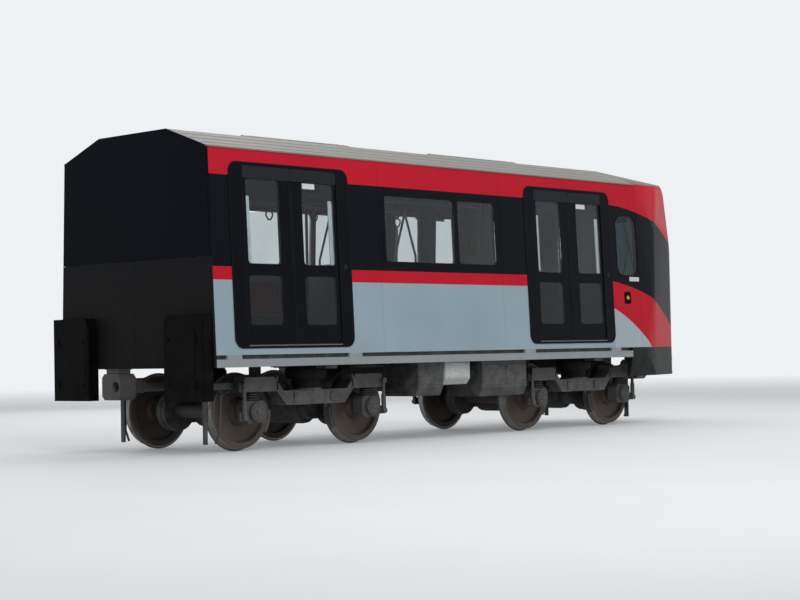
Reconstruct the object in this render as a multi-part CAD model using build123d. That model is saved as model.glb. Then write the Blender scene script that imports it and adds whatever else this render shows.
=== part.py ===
from build123d import *
import os

# A short metro car with a driver's cab, standing on two bogies, in millimetres.
# X runs along the car towards the cab, Y to its left and Z up.
# The origin is midway along the car, on the plane that the wheel flanges stand on.

# Fits and gaps
seal_gap = 0.3          # round glass, leaves and frames that sit in their openings
seat_gap = 0.3          # under a piece that rests on another body
bearing_gap = 0.1       # radial, round journals and pivot pins
running_gap = 6.0       # round turning parts inside their housings
panel_gap = 4.0         # visible seam between two body panels

# Wheels and axles
tread_radius = 430.0
flange_height = 28.0
wheel_width = 130.0
flange_width = 32.0
wheel_back_y = 680.0    # inner face of each wheel from the car's centre
rim_depth = 70.0
web_width = 34.0
hub_radius = 150.0
axle_radius = 80.0
journal_radius = 60.0
rail_top = flange_height
axle_z = tread_radius + flange_height

# Body shell
body_length = 9500.0
body_half_width = 1400.0
tumblehome = 0.041      # each side leans inwards by this share of its height
floor_rise = 950.0      # sole bars' foot above the rail
sole_z = rail_top + floor_rise
sole_bar_height = 90.0
sole_bar_depth = 50.0
side_rise = 137.0       # foot of the side walls above the sole bars' foot
cantrail_rise = 2473.0
roof_rise = 2720.0
side_bottom_z = sole_z + side_rise
cantrail_z = sole_z + cantrail_rise
roof_top_z = sole_z + roof_rise
shoulder_y = 618.0
shoulder_radius = 40.0
wall_t = 80.0
roof_t = 70.0
roof_seat = 140.0       # width of the roof's foot on the top of each side wall
end_wall_t = 30.0
end_seam_rise = 1240.0
end_seam_z = sole_z + end_seam_rise

# Cab
cab_length = 1450.0
cab_wall_t = 80.0
cab_corner_x = 1250.0   # length of the tapering part of the nose
nose_half_width = 1000.0
nose_bulge = 60.0
nose_corner_radius = 420.0
nose_side_radius = 1500.0
screen_top_x = 560.0    # windscreen head behind the nose tip
screen_top_rise = 2452.0
screen_foot_rise = 922.0
chin_rise = 420.0
screen_top_z = sole_z + screen_top_rise
screen_foot_z = sole_z + screen_foot_rise
chin_z = sole_z + chin_rise
screen_border = 40.0    # windscreen's lower edge above the fold at its foot
screen_head = 190.0     # windscreen's upper edge below the fold at its head
screen_low_y = 960.0
screen_high_y = 860.0
screen_radius = 110.0
screen_glass_t = 24.0
screen_depth = 4.0
lamp_depth = 50.0
# lamp outline from the front: place across, height above the chin's fold
lamp_points = ((-905.0, 120.0), (-880.0, 320.0), (-520.0, 230.0), (-560.0, 60.0))
lamp_radius = 40.0
cab_glass_depth = 3.0
cab_glass_t = 14.0

# Floor and underframe
floor_cover_rise = 225.0
floor_top_z = sole_z + floor_cover_rise
floor_t = 30.0
sill_width = 190.0
bearer_width = 110.0
bearer_pitch = 900.0
bolster_length = 620.0
bolster_gap = 10.0      # bolster end from the side sill
jacking_pad = (180.0, 170.0, 40.0)     # length, width, height
bolster_rise = 20.0     # bolster's foot above the sole bars' foot
bolster_foot_z = sole_z + bolster_rise
nose_deck_drop = 60.0   # the deck is this much deeper under the cab

# Door openings: one double-leaf door at each of these places on both sides
door_centres = (-3494.0, 1710.0)
portal_width = 1875.0
portal_low_rise = 215.0
portal_high_rise = 2311.0
portal_low_z = sole_z + portal_low_rise
portal_high_z = sole_z + portal_high_rise
portal_radius = 115.0
portal_proud = 6.0
portal_side = 187.0     # width of the portal beside the leaves
portal_head = 110.0
portal_sill = 36.0
leaf_t = 42.0
leaf_depth = 5.0        # leaf face below the body's skin
leaf_gap = 6.0          # between the two leaves of a door
pane_t = 12.0
pane_radius = 45.0
pane_depth = 4.0        # saloon window glass below the body's skin
leaf_pane_depth = 2.0   # door glass below the leaf's face
pane_stile = 180.0      # glass edge from the door's centre
pane_edge = 60.0        # glass edge from the doorway's side
pane_rows = ((470.0, 1035.0), (1165.0, 2140.0))   # low and high edge above the sole bar's foot

# Saloon window and cab side window
window_centre = -892.0
window_width = 2160.0
window_low_rise = 1196.0
window_high_rise = 2092.0
window_low_z = sole_z + window_low_rise
window_high_z = sole_z + window_high_rise
window_radius = 70.0
window_border = 42.0
window_proud = 3.0
window_depth = 60.0
mullion_shift = 275.0   # mullion from the window's centre
mullion_x = window_centre + mullion_shift
mullion_width = 62.0
cab_window_rear = 137.0   # window edge from the front portal
cab_window_front = 15.0   # window edge from the cab joint
cab_window_low_rise = 1150.0
cab_window_high_rise = 2010.0
cab_window_low_z = sole_z + cab_window_low_rise
cab_window_high_z = sole_z + cab_window_high_rise
cab_window_radius = 150.0

# Saloon and cab fittings
bench_gap = 60.0        # bench end from the portal's edge
seat_depth = 450.0
seat_height = 450.0
seat_back_height = 880.0
post_gap = 40.0         # post from the portal's edge
post_radius = 18.0
post_y = 560.0
rail_height = 1850.0
fork_gap = 130.0        # forked pole from the bench's front edge
fork_half_width = 190.0
fork_high = 1685.0      # heights of the two forks and the widest place between, above the floor
fork_wide = (1150.0, 950.0)
fork_low = 480.0
fork_radius = 15.0
bulkhead_gap = 30.0     # bulkhead from the front portal's edge
bulkhead_t = 50.0
bulkhead_light = (520.0, 700.0, 60.0)     # width, height, corner radius
bulkhead_light_rise = 1500.0
bulkhead_light_z = floor_top_z + bulkhead_light_rise
desk_length = 900.0     # desk's driver side from the nose tip
desk_half_width = 780.0
desk_height = 720.0
dash_rise = 160.0       # instrument hood above the desk's top
driver_x = 3400.0       # middle of the driver's seat
driver_seat_rise = 460.0
driver_seat_z = floor_top_z + driver_seat_rise
driver_seat_size = (460.0, 480.0, 90.0)
driver_back_height = 640.0
driver_post_radius = 70.0

# Bogies
bogie_centres = (-2900.0, 2300.0)
bogie_wheelbase = 1900.0
frame_y = 980.0         # side frame's centre line
frame_width = 190.0
frame_depth = 170.0
frame_end_z = 688.0     # underside over the axleboxes
frame_mid_z = 520.0     # underside of the dropped middle
frame_half_length = 1180.0
frame_mid_half = 480.0
frame_slope = 150.0
transom_x = 260.0
transom_radius = 85.0
transom_z = 605.0
pivot_block = (360.0, 420.0, 230.0)
pivot_radius = 75.0
pivot_foot_z = 480.0
air_spring_radius = 250.0
air_spring_y = body_half_width - sole_bar_depth - sill_width - bolster_gap - air_spring_radius
air_spring_foot = 0.7     # foot radius as a share of the bellows' radius
spring_seat_t = 20.0
axlebox_half_length = 160.0
axlebox_half_height = 130.0
axlebox_width = 160.0
axlebox_cap_radius = 105.0
axlebox_cap_length = 42.0
primary_spring_radius = 95.0
brake_unit_width = 90.0
motor_radius = 200.0
motor_length = 600.0
motor_offset = 395.0    # motor axis from the axle, towards the bogie's centre
gear_case_width = 150.0
gear_case_radius = 235.0

# Couplers
coupler_rise = 750.0    # coupler's axis above the rail
coupler_z = rail_top + coupler_rise
coupler_reach = 350.0   # coupler face beyond the body at either end
coupler_pivot_back = 650.0
coupler_head = (230.0, 330.0, 300.0)
coupler_shank_radius = 65.0
coupler_eye_radius = 88.0
coupler_pin_radius = 36.0
jaw_t = 36.0
jaw_half_width = 170.0
jaw_foot_half_width = 130.0
jaw_gap = 24.0          # between the coupler's eye and the back plate
hanger_t = 40.0
head_chamfer = 45.0
neck_length = 40.0
cup_depth = 120.0
cup_radii = (30.0, 62.0)

# Fittings under the floor and on the rear end
corner_box_depth = 150.0
corner_box_drop = 370.0
corner_box_rise = 600.0
corner_box_low_z = sole_z - corner_box_drop
corner_box_high_z = sole_z + corner_box_rise
corner_box_inner_y = 690.0
corner_box_chamfer = 60.0
skirt_t = 40.0
skirt_drop = 270.0
skirt_foot_z = sole_z - skirt_drop
skirt_start = 250.0     # skirt begins this far behind the cab joint
skirt_tuck = 60.0
coupler_gap_half_width = 400.0

x_rear = -body_length / 2
x_nose = body_length / 2
x_joint = x_nose - cab_length
x_shell = x_rear + end_wall_t
cantrail_y = body_half_width - tumblehome * (cantrail_z - sole_z)
chamfer_rise = (roof_top_z - cantrail_z) / (cantrail_y - shoulder_y)
ceiling_z = roof_top_z - roof_t
ceiling_y = cantrail_y - roof_seat - (ceiling_z - cantrail_z) / chamfer_rise
reach_y = 2 * body_half_width


def skin_y(z, depth=0.0):
    """Half width of the body at a height, less a depth below the skin."""
    return body_half_width - tumblehome * (z - sole_z) - depth


def along(points, x0, x1):
    """Prism of a (Y, Z) outline from x0 to x1."""
    face = make_face(Polyline(*points, close=True).edges())
    return extrude(Plane.YZ.offset(x0) * face, amount=x1 - x0)


def across(sketch, y0, y1):
    """Prism of an (X, Z) sketch from y0 to y1, y0 being the more positive."""
    return extrude(Plane.XZ.offset(-y0) * sketch, amount=y0 - y1)


def block(x0, x1, y0, y1, z0, z1):
    """Box between its two corners."""
    return Pos((x0 + x1) / 2, (y0 + y1) / 2, (z0 + z1) / 2) * Box(x1 - x0, y1 - y0, z1 - z0)


def rounded(x0, x1, z0, z1, radius):
    """Rounded rectangle in the (X, Z) plane."""
    return Pos((x0 + x1) / 2, (z0 + z1) / 2) * RectangleRounded(x1 - x0, z1 - z0, radius)


def rod(radius, start, direction, length):
    """Round bar from a point along a direction."""
    return extrude(Plane(origin=start, z_dir=direction) * Circle(radius), amount=length)


def side_slab(x0, x1, z0, z1, depth_out, depth_in):
    """Slice of the right-hand side between two depths below the skin."""
    return along([(-skin_y(z0, depth_out), z0), (-skin_y(z1, depth_out), z1),
                  (-skin_y(z1, depth_in), z1), (-skin_y(z0, depth_in), z0)], x0, x1)


def in_side(sketch, depth_out, depth_in):
    """Right-hand piece of an (X, Z) outline that follows the leaning side."""
    box = sketch.bounding_box()
    slab = side_slab(box.min.X - 1, box.max.X + 1, box.min.Y - 1, box.max.Y + 1, depth_out, depth_in)
    return across(sketch, -cantrail_y / 2, -reach_y) & slab


def both_sides(part):
    """A right-hand piece and its mirror image on the left."""
    return part, mirror(part, about=Plane.XZ)


def car_section(depth, low_z):
    """Outline of the body across the car, at a depth below its skin."""
    top_y, top_z = cantrail_y - depth, cantrail_z
    drop = depth * 0.9
    return [(-skin_y(low_z, depth), low_z), (-top_y, top_z), (-shoulder_y, roof_top_z - drop),
            (shoulder_y, roof_top_z - drop), (top_y, top_z), (skin_y(low_z, depth), low_z)]


def solids_of(*parts):
    """One node that holds several separate solids."""
    return Compound(children=[solid for part in parts for solid in part.solids()])


def portal_outline(centre, grow=0.0):
    """Outer outline of a door portal."""
    half = portal_width / 2 + grow
    low_z, high_z = portal_low_z - grow, portal_high_z + grow
    return rounded(centre - half, centre + half, low_z, high_z, portal_radius + grow)


def doorway_outline(centre, grow=0.0):
    """Opening in a portal that the two leaves fill."""
    half = portal_width / 2 - portal_side + grow
    low_z, high_z = portal_low_z + portal_sill - grow, portal_high_z - portal_head + grow
    return rounded(centre - half, centre + half, low_z, high_z, portal_radius * 0.5 + grow)


def window_outline(grow=0.0):
    """Outline of the saloon window's frame."""
    half = window_width / 2 + grow
    return rounded(window_centre - half, window_centre + half, window_low_z - grow, window_high_z + grow,
                   window_radius + grow)


def cab_window_outline(grow=0.0):
    """Outline of the small window beside the driver."""
    x0 = door_centres[1] + portal_width / 2 + cab_window_rear - grow
    x1 = x_joint - cab_window_front + grow
    low_z, high_z = cab_window_low_z - grow, cab_window_high_z + grow
    return rounded(x0, x1, low_z, high_z, cab_window_radius + grow)


def side_wall():
    """Right-hand side wall with its door, window and cab window openings."""
    wall = side_slab(x_shell, x_joint - panel_gap, side_bottom_z, cantrail_z, 0, wall_t)
    for centre in door_centres:
        wall -= across(portal_outline(centre, seal_gap), 0, -reach_y)
    wall -= across(window_outline(seal_gap), 0, -reach_y)
    wall -= across(cab_window_outline(seal_gap), 0, -reach_y)
    return wall


def door_portal(centre):
    """Black frame round a door, standing a little proud of the skin."""
    return in_side(portal_outline(centre) - doorway_outline(centre), -portal_proud, wall_t)


def pane_outline(centre, side, low, high, grow=0.0):
    """Glass outline in one leaf; side is -1 for the rear leaf and 1 for the front one."""
    outer_edge = portal_width / 2 - portal_side - pane_edge
    near, far = sorted((centre + side * pane_stile, centre + side * outer_edge))
    return rounded(near - grow, far + grow, sole_z + low - grow, sole_z + high + grow, pane_radius + grow)


def door_leaf(centre, side):
    """One leaf of a double door, with its two glass openings."""
    half = portal_width / 2
    edge = centre + side * (leaf_gap / 2 + half / 2)
    half_door = Pos(edge, roof_top_z / 2) * Rectangle(half, roof_top_z * 2)
    outline = doorway_outline(centre, -seal_gap) & half_door
    for low, high in pane_rows:
        outline -= pane_outline(centre, side, low, high, seal_gap)
    return in_side(outline, leaf_depth, leaf_depth + leaf_t)


def door_pane(centre, side, low, high):
    """One pane of a door leaf, set just below the leaf's face."""
    depth = leaf_depth + leaf_pane_depth
    return in_side(pane_outline(centre, side, low, high), depth, depth + pane_t)


def window_lights(grow=0.0):
    """The two glass outlines of the saloon window, either side of the mullion."""
    low_z, high_z = window_low_z + window_border - grow, window_high_z - window_border + grow
    left = window_centre - window_width / 2 + window_border - grow
    right = window_centre + window_width / 2 - window_border + grow
    radius = window_radius - window_border / 2 + grow
    return (rounded(left, mullion_x - mullion_width / 2 + grow, low_z, high_z, radius),
            rounded(mullion_x + mullion_width / 2 - grow, right, low_z, high_z, radius))


def window_frame():
    """Black frame and mullion of the saloon window."""
    outline = window_outline()
    for light in window_lights(seal_gap):
        outline -= light
    return in_side(outline, -window_proud, window_depth)


def roof_shell():
    """Chamfered roof that stands on the two side walls."""
    foot_y = cantrail_y - roof_seat
    points = [(-cantrail_y, cantrail_z), (-shoulder_y, roof_top_z), (shoulder_y, roof_top_z),
              (cantrail_y, cantrail_z), (foot_y, cantrail_z), (ceiling_y, ceiling_z),
              (-ceiling_y, ceiling_z), (-foot_y, cantrail_z)]
    roof = along(points, x_shell, x_joint - panel_gap)
    ridges = [edge for edge in roof.edges().filter_by(Axis.X) if abs(edge.center().Z - roof_top_z) < 1]
    return fillet(ridges, shoulder_radius)


def rear_wall(low_z, high_z, y_low, y_high):
    """Part of the flat closed rear end between two heights and two places across."""
    whole = along(car_section(0, sole_z), x_rear, x_shell)
    return whole & block(x_rear - 1, x_shell + 1, y_low, y_high, low_z, high_z)


def corner_box():
    """Black cabinet on the lower right corner of the rear end."""
    outer_y = skin_y(corner_box_high_z, 4.0)
    c = corner_box_chamfer
    points = [(-corner_box_inner_y, corner_box_low_z), (-corner_box_inner_y, corner_box_high_z - 2 * c),
              (-corner_box_inner_y - c, corner_box_high_z), (-outer_y, corner_box_high_z),
              (-outer_y, corner_box_low_z)]
    cabinet = along(points, x_rear - corner_box_depth, x_rear)
    backs = cabinet.edges().filter_by(Axis.Z).sort_by(Axis.X)[:2]
    return chamfer(backs, corner_box_chamfer / 4)


def nose_plan(depth):
    """Plan of the nose, from behind the cab joint to the tip, at a depth below its skin."""
    side = body_half_width + 2
    start = x_joint - skirt_start
    corner_x = x_nose - cab_corner_x
    points = [(start, -side), (corner_x, -side), (x_nose - nose_bulge, -nose_half_width), (x_nose, 0),
              (x_nose - nose_bulge, nose_half_width), (corner_x, side), (start, side)]
    plan = make_face(Polyline(*points, close=True).edges())
    plan = fillet(plan.vertices().filter_by_position(Axis.X, x_nose - 5, x_nose + 5), 2 * nose_half_width)
    corners = plan.vertices().filter_by_position(Axis.X, x_nose - nose_bulge - 5, x_nose - nose_bulge + 5)
    plan = fillet(corners, nose_corner_radius)
    sides = plan.vertices().filter_by_position(Axis.X, corner_x - 5, corner_x + 5)
    plan = fillet(sides, nose_side_radius)
    if depth:
        plan = offset(plan, -depth)
    return plan


def nose_profile(depth):
    """Side view of the nose: roof fall, raked windscreen, upright chin."""
    start = x_joint - skirt_start - 2 * cab_wall_t
    head_x = x_nose - screen_top_x
    points = [(start, 0), (x_nose - 60, 0), (x_nose, chin_z), (x_nose - 40, screen_foot_z),
              (head_x, screen_top_z), (x_joint, roof_top_z), (start, roof_top_z)]
    profile = make_face(Polyline(*points, close=True).edges())
    folds = ((x_nose, chin_z, 900), (x_nose - 40, screen_foot_z, 900), (head_x, screen_top_z, 260))
    for x, z, radius in folds:
        profile = fillet(profile.vertices().sort_by_distance((x, z, 0))[0], radius)
    if depth:
        profile = offset(profile, -depth)
    return profile


def nose_solid(depth, low_z, start):
    """Solid nose at a depth below its skin, from a height up and from a place on."""
    section = along(car_section(depth, low_z), start, x_nose + 1)
    height = roof_top_z - low_z + 100
    plan = extrude(Plane.XY.offset(low_z) * nose_plan(depth), amount=height)
    profile = across(nose_profile(depth), reach_y, -reach_y)
    return section & plan & profile


def screen_outline(grow=0.0):
    """Windscreen outline seen from the front, in (Y, Z)."""
    low_z, high_z = screen_foot_z + screen_border - grow, screen_top_z - screen_head + grow
    low_y, high_y = screen_low_y + grow, screen_high_y + grow
    corners = [(-low_y, low_z), (-high_y, high_z), (high_y, high_z), (low_y, low_z)]
    face = make_face(Polyline(*corners, close=True).edges())
    return fillet(face.vertices(), screen_radius + grow)


def lamp_outline(grow=0.0):
    """Right-hand lamp outline seen from the front, in (Y, Z)."""
    face = make_face(Polyline(*[(y, chin_z + rise) for y, rise in lamp_points], close=True).edges())
    face = fillet(face.vertices(), lamp_radius)
    return offset(face, grow) if grow else face


def forward(sketch):
    """Prism of a (Y, Z) sketch through the front of the nose."""
    return extrude(Plane.YZ.offset(x_joint) * sketch, amount=cab_length)


def cab_shell():
    """Hollow nose with its windscreen opening and lamp recesses."""
    shell = nose_solid(0, side_bottom_z, x_joint) - nose_solid(cab_wall_t, side_bottom_z - 10, x_joint - 10)
    shell -= forward(screen_outline(seal_gap))
    recess = nose_solid(0, side_bottom_z, x_joint) - nose_solid(lamp_depth + seal_gap, side_bottom_z, x_joint)
    for lamp in both_sides(recess & forward(lamp_outline(seal_gap))):
        shell -= lamp
    return shell


def windscreen():
    """Raked one-piece windscreen."""
    inner = nose_solid(screen_depth + screen_glass_t, side_bottom_z - 10, x_joint - 10)
    return (nose_solid(screen_depth, side_bottom_z, x_joint) - inner) & forward(screen_outline())


def headlamp():
    """Right-hand lamp cluster."""
    inner = nose_solid(lamp_depth, side_bottom_z - 10, x_joint - 10)
    return (nose_solid(0, side_bottom_z, x_joint) - inner) & forward(lamp_outline())


skirt_inner_y = skin_y(side_bottom_z) - skirt_t - skirt_tuck


def skirt_solid(depth):
    """Solid under the nose at a depth below the skirt's skin, tucked in towards its foot."""
    low_y, high_y = skin_y(side_bottom_z) - skirt_tuck - depth, skin_y(side_bottom_z) - depth
    low_z, mid_z, high_z = skirt_foot_z - depth, sole_z, side_bottom_z + depth
    section = along([(-low_y, low_z), (-high_y, mid_z), (-high_y, high_z), (high_y, high_z),
                     (high_y, mid_z), (low_y, low_z)], x_joint - skirt_start - depth, x_nose + 1)
    plan = extrude(Plane.XY.offset(low_z) * nose_plan(depth), amount=high_z - low_z)
    return section & plan & across(nose_profile(depth), reach_y, -reach_y)


def nose_skirt():
    """Black skirt round the foot of the nose, open in the middle for the coupler."""
    start = x_joint - skirt_start
    skirt = skirt_solid(0) & block(start, x_nose + 1, -reach_y, reach_y, skirt_foot_z, side_bottom_z)
    hollow = skirt_solid(skirt_t) + block(start - 9, x_joint, -skirt_inner_y, skirt_inner_y,
                                          skirt_foot_z - 9, side_bottom_z + 9)
    skirt -= hollow
    gap_y = coupler_gap_half_width
    gap = block(x_joint, x_nose + 1, -gap_y, gap_y, skirt_foot_z - 1, sole_z)
    return skirt - gap


def underframe():
    """Deck, two side sills, the cross-bearers between them and four jacking pads."""
    deck_top = floor_top_z - floor_t
    deck_y = skin_y(floor_top_z, wall_t) - 2
    inner = nose_solid(cab_wall_t + seal_gap, sole_z - skirt_start, x_joint - skirt_start)
    nose_deck = block(x_joint, x_nose, -deck_y, deck_y, side_bottom_z - nose_deck_drop, deck_top) & inner
    members = [block(x_shell, x_joint, -deck_y, deck_y, side_bottom_z, deck_top), nose_deck]
    sill_y = body_half_width - sole_bar_depth
    sill = block(x_shell, x_joint - skirt_start, -sill_y, sill_width - sill_y, sole_z, side_bottom_z)
    members += both_sides(sill)
    beam_y = sill_y - sill_width
    members.append(block(x_shell, x_shell + bearer_width, -beam_y, beam_y, sole_z, side_bottom_z))
    taken = bogie_centres + (x_rear + coupler_pivot_back,)
    clear = bolster_length / 2 + 1.5 * bearer_width
    bearer = x_joint - bearer_width
    while bearer > x_shell:
        bearer_y = beam_y if bearer < x_joint - skirt_start else skirt_inner_y
        if all(abs(bearer - place) > clear for place in taken):
            members.append(block(bearer, bearer + bearer_width, -bearer_y, bearer_y, sole_z, side_bottom_z))
        bearer -= bearer_pitch
    length, width, height = jacking_pad
    for centre in bogie_centres:
        x0, x1 = centre - length / 2, centre + length / 2
        members += both_sides(block(x0, x1, -sill_y, width - sill_y, sole_z - height, sole_z))
    return solids_of(*members)


def bolster(centre):
    """Box beam over a bogie, with the pivot pin that the bogie turns on."""
    half = bolster_length / 2
    beam_y = body_half_width - sole_bar_depth - sill_width - bolster_gap
    beam = block(centre - half, centre + half, -beam_y, beam_y, bolster_foot_z, side_bottom_z)
    return beam + rod(pivot_radius, (centre, 0, pivot_foot_z), (0, 0, 1), bolster_foot_z - pivot_foot_z + 5)


def draft_box(end):
    """Jaw under one end of the frame, with the pin that the coupler swings on."""
    pivot = end * (body_length / 2 - coupler_pivot_back)
    eye = coupler_eye_radius
    back = pivot - end * (eye + jaw_gap)
    back0, back1 = sorted((back, back - end * jaw_t))
    jaw0, jaw1 = sorted((back - end * jaw_t, pivot + end * eye))
    low_z, high_z = coupler_z - eye, coupler_z + eye
    deck_z = side_bottom_z - (nose_deck_drop if end > 0 else 0)
    jaw = block(jaw0, jaw1, -jaw_half_width, jaw_half_width, high_z, high_z + jaw_t)
    jaw += block(jaw0, jaw1, -jaw_foot_half_width, jaw_foot_half_width, low_z - jaw_t, low_z)
    jaw += block(back0, back1, -jaw_half_width, jaw_half_width, low_z - jaw_t, deck_z)
    hanger = block(jaw0, jaw1, -jaw_half_width, hanger_t - jaw_half_width, high_z, deck_z)
    for part in both_sides(hanger):
        jaw += part
    return jaw + rod(coupler_pin_radius, (pivot, 0, low_z - jaw_t / 2), (0, 0, 1), 2 * eye + jaw_t)


def coupler(end):
    """Automatic coupler: eye on the pin, shank, head with its cup."""
    pivot = end * (body_length / 2 - coupler_pivot_back)
    face = end * (body_length / 2 + coupler_reach)
    length, width, height = coupler_head
    eye_half = coupler_eye_radius - seat_gap
    eye = rod(coupler_eye_radius, (pivot, 0, coupler_z - eye_half), (0, 0, 1), 2 * eye_half)
    shank = rod(coupler_shank_radius, (pivot, 0, coupler_z), (end, 0, 0), abs(face - pivot) - length + 5)
    x0, x1 = sorted((face, face - end * length))
    head = block(x0, x1, -width / 2, width / 2, coupler_z - height / 2, coupler_z + height / 2)
    head = chamfer(head.edges().filter_by(Axis.X), head_chamfer)
    x2, x3 = sorted((face - end * length, face - end * (length + neck_length)))
    neck = block(x2, x3, -width / 3, width / 3, coupler_z - height / 3, coupler_z + height / 3)
    cup = Cone(*cup_radii, cup_depth + 0.5)
    cup = Pos(face - end * cup_depth / 2, end * width / 4, coupler_z) * Rot(0, end * 90, 0) * cup
    body = eye + shank + neck + head - cup
    return body - rod(coupler_pin_radius + bearing_gap, (pivot, 0, coupler_z - height), (0, 0, 1), 2 * height)


def sole_bar():
    """Light rail along the foot of the right-hand side, with blocks up to the side at the portals."""
    x_end = x_joint - skirt_start - 1
    y0, y1 = -body_half_width, -(body_half_width - sole_bar_depth)
    bar = block(x_shell, x_end, y0, y1, sole_z, sole_z + sole_bar_height)
    for centre in door_centres:
        for side in (-1, 1):
            x = centre + side * (portal_width / 2 + 20)
            bar += block(x - 110, x + 110, y0 + 6, y1, sole_z, side_bottom_z)
    return bar


def bench():
    """Long bench against the right-hand side between the doors."""
    x0 = door_centres[0] + portal_width / 2 + bench_gap
    x1 = door_centres[1] - portal_width / 2 - bench_gap
    back = skin_y(floor_top_z + seat_back_height, wall_t) - 2
    # inwards from the wall, up from the floor: plinth, back, seat, front lip
    outline = ((60, 0), (60, seat_height - 70), (0, seat_height - 30), (0, seat_back_height),
               (45, seat_back_height), (85, seat_height + 10), (seat_depth, seat_height),
               (seat_depth, seat_height - 50), (210, seat_height - 90), (170, 0))
    return along([(inwards - back, floor_top_z + up) for inwards, up in outline], x0, x1)


def grab_rail():
    """Two posts at the ends of the right-hand bench, joined by a rail."""
    x0 = door_centres[0] + portal_width / 2 + post_gap
    x1 = door_centres[1] - portal_width / 2 - post_gap
    height = ceiling_z - floor_top_z
    rail = rod(post_radius, (x0, -post_y, floor_top_z + rail_height), (1, 0, 0), x1 - x0)
    for x in (x0, x1):
        rail += rod(post_radius, (x, -post_y, floor_top_z), (0, 0, 1), height)
    return rail


def forked_pole():
    """Floor-to-ceiling pole before the middle of the right-hand bench, split in two over its middle."""
    x = (door_centres[0] + door_centres[1]) / 2
    y = skin_y(floor_top_z + seat_back_height, wall_t) - 2 - seat_depth - fork_gap
    foot = floor_top_z
    top = ceiling_z - max(0, y + post_radius - ceiling_y) * chamfer_rise
    pole = rod(post_radius, (x, -y, foot), (0, 0, 1), fork_low)
    pole += rod(post_radius, (x, -y, foot + fork_high), (0, 0, 1), top - foot - fork_high)
    for side in (-1, 1):
        wide = x + side * fork_half_width
        places = [(x, fork_low - 10), (wide, fork_wide[1]), (wide, fork_wide[0]), (x, fork_high + 10)]
        points = [Vector(at, -y, foot + up) for at, up in places]
        for start, end in zip(points, points[1:]):
            run = end - start
            pole += rod(fork_radius, start, run, run.length)
        for bend in points[1:-1]:
            pole += Pos(bend.X, bend.Y, bend.Z) * Sphere(fork_radius)
    return pole


def cab_bulkhead():
    """Partition behind the driver, with a door light."""
    x0 = door_centres[1] + portal_width / 2 + bulkhead_gap
    foot_y = skin_y(floor_top_z, wall_t + 1)
    top_y = skin_y(cantrail_z, wall_t + 1)
    right = [(-foot_y, floor_top_z), (-top_y, cantrail_z - 1), (1 + roof_seat - cantrail_y, cantrail_z - 1),
             (1 - ceiling_y, ceiling_z)]
    points = right + [(-y, z) for y, z in reversed(right)]
    light = Pos(0, bulkhead_light_z) * RectangleRounded(*bulkhead_light)
    opening = extrude(Plane.YZ.offset(x0 - 1) * light, amount=bulkhead_t + 2)
    return along(points, x0, x0 + bulkhead_t) - opening


def driver_desk():
    """Desk across the cab under the windscreen."""
    x0 = x_nose - desk_length
    z = floor_top_z + desk_height
    corners = [(x0 + 60, floor_top_z), (x0, z - 90), (x0, z), (x0 + 260, z + 40), (x0 + 330, z + dash_rise),
               (x_nose, z + dash_rise), (x_nose, floor_top_z)]
    profile = make_face(Polyline(*corners, close=True).edges())
    inner = nose_solid(cab_wall_t + 2, floor_top_z, x_joint)
    return across(profile, desk_half_width, -desk_half_width) & inner


def driver_seat():
    """Driver's seat: foot plate, post, pan and a back that leans away from the desk."""
    length, width, height = driver_seat_size
    x0, x1 = driver_x - length / 2, driver_x + length / 2
    foot = block(x0 + 60, x1 - 60, -width / 3, width / 3, floor_top_z, floor_top_z + 25)
    post = rod(driver_post_radius, (driver_x, 0, floor_top_z), (0, 0, 1), driver_seat_z - floor_top_z)
    pan = block(x0, x1, -width / 2, width / 2, driver_seat_z, driver_seat_z + height)
    pan = fillet(pan.edges().filter_by(Axis.Z) + pan.faces().sort_by(Axis.Z)[-1].edges(), height / 3)
    top_z = driver_seat_z + height + driver_back_height
    back_foot_z = driver_seat_z + 20
    corners = [(x0 + 10, back_foot_z), (x0 + 110, back_foot_z), (x0 + 10, top_z), (x0 - 70, top_z)]
    profile = make_face(Polyline(*corners, close=True).edges())
    back = across(profile, width / 2 - 20, 20 - width / 2)
    return foot + post + pan + fillet(back.edges().filter_by(Axis.Y), height / 5)


def wheel_section(back):
    """Half section of one wheel in (radius, along the axle), from its back face outwards."""
    r = tread_radius
    front = back + wheel_width
    rim = r - rim_depth
    mid = (back + front) / 2
    hub0, hub1 = back - 20, front + 20
    bore = axle_radius + 15
    web0, web1 = mid - web_width / 2, mid + web_width / 2
    tip = r + flange_height
    inner_half = [(bore, hub0), (hub_radius, hub0), (hub_radius + 20, web0), (rim - 20, web0), (rim, back),
                  (tip - 8, back), (tip, back + 12), (tip - 6, back + flange_width - 8)]
    outer_half = [(r, back + flange_width + 6), (r - 2, front - 8), (r - 10, front), (rim, front),
                  (rim - 20, web1), (hub_radius + 20, web1), (hub_radius, hub1), (bore, hub1)]
    return inner_half + outer_half


def wheels(x):
    """Two flanged wheels of one axle."""
    face = make_face(Polyline(*wheel_section(wheel_back_y), close=True).edges())
    upright = Plane(origin=(x, 0, axle_z), x_dir=(0, 0, 1), z_dir=(-1, 0, 0))
    wheel = revolve(upright * face, Axis((x, 0, axle_z), (0, 1, 0)))
    return solids_of(wheel, mirror(wheel, about=Plane.XZ))


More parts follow.
